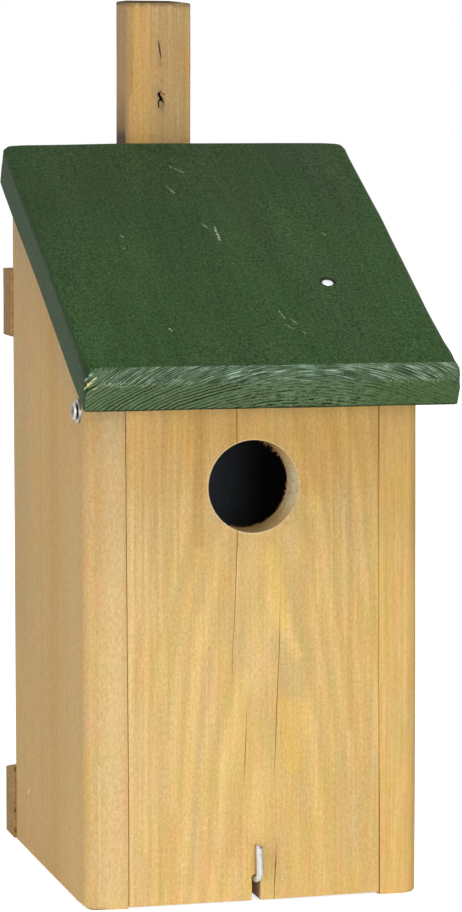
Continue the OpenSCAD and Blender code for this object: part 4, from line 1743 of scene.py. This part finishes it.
class NESTBOX_OT_latch_hook(bpy.types.Operator):
    """Models the square bent hook that holds the panel shut"""

    bl_idname = "nestbox.latch_hook"
    bl_label = "Latch hook"

    def execute(self, context):
        low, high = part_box("latch_hook")
        radius = timber().hook_wire / 2
        axis = Vector(JOINTS["hook_turn"]["pos_m"])
        bend, swell, slant, lower, steps = 2.0 * MM, 0.15 * MM, 0.95 * MM, 0.4 * MM, 8
        arm_y, arm_x = low.y + radius, axis.x + slant
        beside = Vector((1, 0, 0))
        path = [(Vector((axis.x, high.y, axis.z)), Vector((0, 1, 0)), radius)]
        path.append((Vector((axis.x, (arm_y + high.y) / 2, axis.z)), Vector((0, 1, 0)), radius))
        path.append((Vector((axis.x, arm_y + bend + 1 * MM, axis.z)), Vector((0, 1, 0)), radius))
        for step in range(1, steps + 1):
            turn = math.radians(90) * step / steps
            at = Vector((arm_x, arm_y + bend - bend * math.sin(turn), axis.z + bend - bend * math.cos(turn)))
            at.x -= slant * (1 - step / steps)
            at.z -= lower * step / steps
            path.append((at, Vector((0, math.cos(turn), -math.sin(turn))), radius + swell * step / steps))
        top = high.z - 0.5 * MM
        # The arm leans in a little towards its tip, whose edge is rounded over and cut aslant
        path.append((Vector((arm_x - 0.25 * MM, arm_y, top - 0.3 * MM)), Vector((0, 0, -1)), radius + swell))
        path.append((Vector((arm_x - 0.26 * MM, arm_y, top)), Vector((0, 0, -1)), radius + swell * 0.3))
        sections = []
        for at, back, width in path:
            other = beside.cross(back)
            sections.append(
                [
                    at + (beside * math.cos(angle) + other * math.sin(angle)) * width
                    for angle in (2 * math.pi * corner / 20 for corner in range(20))
                ]
            )
        for corner in sections[-1] + sections[-2]:
            corner.z -= (corner.x - arm_x + radius) * 0.3
        bm = bmesh.new()
        sweep(bm, sections)
        piece = loose_object("latch_hook_steel", bm)
        tip = (high.z / MM - 1.9, high.z / MM - 1.3, arm_x / MM - 1.0, arm_x / MM - 0.3)
        steel = plated_steel("hook zinc", tint(189, 192, 190), 0.3, 0.45, tip=tip)
        finish_piece(piece, "latch_hook", steel, ["latch_hook"], sharp=40)
        return {"FINISHED"}


# ---------------------------------------------------------------- studio


def white_to_the_eye(recipe):
    """1 for what the camera, metal or glass sees, and 0 for what lights a surface."""
    kinds = ("Camera", "Glossy", "Transmission")
    rays = [recipe.add("ShaderNodeLightPath", output=f"Is {kind} Ray") for kind in kinds]
    return recipe.math("MAXIMUM", recipe.math("MAXIMUM", rays[0], rays[1]), rays[2])


class NESTBOX_OT_studio(bpy.types.Operator):
    """Sets the pale floor, the soft lamps, the white surroundings and the camera"""

    bl_idname = "nestbox.studio"
    bl_label = "Studio"

    def execute(self, context):
        scene = context.scene
        setup = studio()
        scene.view_settings.view_transform = "Standard"

        bm = bmesh.new()
        bmesh.ops.create_grid(bm, x_segments=1, y_segments=1, size=4)
        floor = loose_object("studio_floor", bm)
        recipe = new_recipe("studio floor")
        eye = white_to_the_eye(recipe)
        place = recipe.add("ShaderNodeTexCoord", output="Object")
        away = recipe.add("ShaderNodeVectorMath", {"operation": "LENGTH"}, {0: place}, "Value")
        shade = recipe.blend(recipe.band(away, 0.3, 1.0), (0.8, 0.8, 0.8), (1.0, 1.0, 1.0))
        matt = recipe.add("ShaderNodeBsdfDiffuse", inputs={"Color": (0.86, 0.86, 0.86, 1)})
        glow = recipe.add("ShaderNodeEmission", inputs={"Color": shade, "Strength": 1.0})
        lit = recipe.add("ShaderNodeAddShader", inputs={0: matt, 1: glow})
        surface = recipe.add("ShaderNodeMixShader", inputs={0: eye, 1: matt, 2: lit})
        floor.data.materials.append(recipe.finish("ShaderNodeOutputMaterial", surface))

        world = bpy.data.worlds.new("white surroundings")
        scene.world = world
        recipe = Recipe(world)
        eye = white_to_the_eye(recipe)
        light = recipe.add("ShaderNodeBackground", inputs={"Color": (1, 1, 1, 1), "Strength": setup.sky})
        white = recipe.add("ShaderNodeBackground", inputs={"Color": (1, 1, 1, 1), "Strength": 1.0})
        surface = recipe.add("ShaderNodeMixShader", inputs={0: eye, 1: light, 2: white})
        recipe.finish("ShaderNodeOutputWorld", surface)

        middle = Vector((0, 0, 0.15))
        lamps = (
            ("key lamp", (0.1, -1.75, 0.28), 0.8, setup.key_power),
            ("fill lamp", (-1.5, -0.8, 0.38), 0.9, setup.fill_power),
            ("top lamp", (-0.08, -0.72, 1.75), 0.55, setup.top_power),
        )
        for name, place, size, power in lamps:
            lamp = bpy.data.lights.new(name, "AREA")
            lamp.shape = "SQUARE"
            lamp.size = size
            lamp.energy = power
            stand = bpy.data.objects.new(name, lamp)
            stand.location = place
            stand.rotation_euler = (middle - Vector(place)).to_track_quat("-Z", "Y").to_euler()
            scene.collection.objects.link(stand)

        lens = bpy.data.cameras.new("camera")
        lens.sensor_width = 36
        lens.lens = setup.lens
        lens.clip_end = 20
        camera = bpy.data.objects.new("camera", lens)
        scene.collection.objects.link(camera)
        camera.matrix_world = (
            Matrix.Translation(setup.camera_place)
            @ Matrix.Rotation(-setup.camera_turn, 4, "Z")
            @ Matrix.Rotation(math.pi / 2 - setup.camera_dip, 4, "X")
            @ Matrix.Rotation(setup.camera_roll, 4, "Z")
        )
        scene.camera = camera
        return {"FINISHED"}


class NESTBOX_PT_panel(bpy.types.Panel):
    """Lists the pieces of the nest box"""

    bl_idname = "NESTBOX_PT_panel"
    bl_label = "Nest box"
    bl_space_type = "VIEW_3D"
    bl_region_type = "UI"
    bl_category = "Nest box"

    def draw(self, context):
        scene = context.scene
        for group in (scene.nest_box_timber, scene.nest_box_colours, scene.nest_box_studio):
            column = self.layout.column(align=True)
            for name in group.__annotations__:
                column.prop(group, name)
        for piece in PIECES:
            self.layout.operator(piece.bl_idname)


SETTINGS = {
    "nest_box_timber": NestBoxTimber,
    "nest_box_colours": NestBoxColours,
    "nest_box_studio": NestBoxStudio,
}
PIECES = (
    NESTBOX_OT_studio,
    NESTBOX_OT_side_boards,
    NESTBOX_OT_front_panel,
    NESTBOX_OT_hole_splinters,
    NESTBOX_OT_inner_boards,
    NESTBOX_OT_roof,
    NESTBOX_OT_battens,
    NESTBOX_OT_pivots,
    NESTBOX_OT_nails,
    NESTBOX_OT_latch_hook,
)
CLASSES = (*SETTINGS.values(), *PIECES, NESTBOX_PT_panel)


def register():
    """Makes the settings, the operators and the panel known to Blender."""
    for item in CLASSES:
        bpy.utils.register_class(item)
    for name, group in SETTINGS.items():
        setattr(bpy.types.Scene, name, PointerProperty(type=group))


def unregister():
    """Takes the settings, the operators and the panel away again."""
    for name in SETTINGS:
        delattr(bpy.types.Scene, name)
    for item in reversed(CLASSES):
        bpy.utils.unregister_class(item)


def main():
    """Registers the add-on and runs every operator once."""
    register()
    for piece in PIECES:
        group, name = piece.bl_idname.split(".")
        getattr(getattr(bpy.ops, group), name)()


if __name__ == "__main__":
    main()
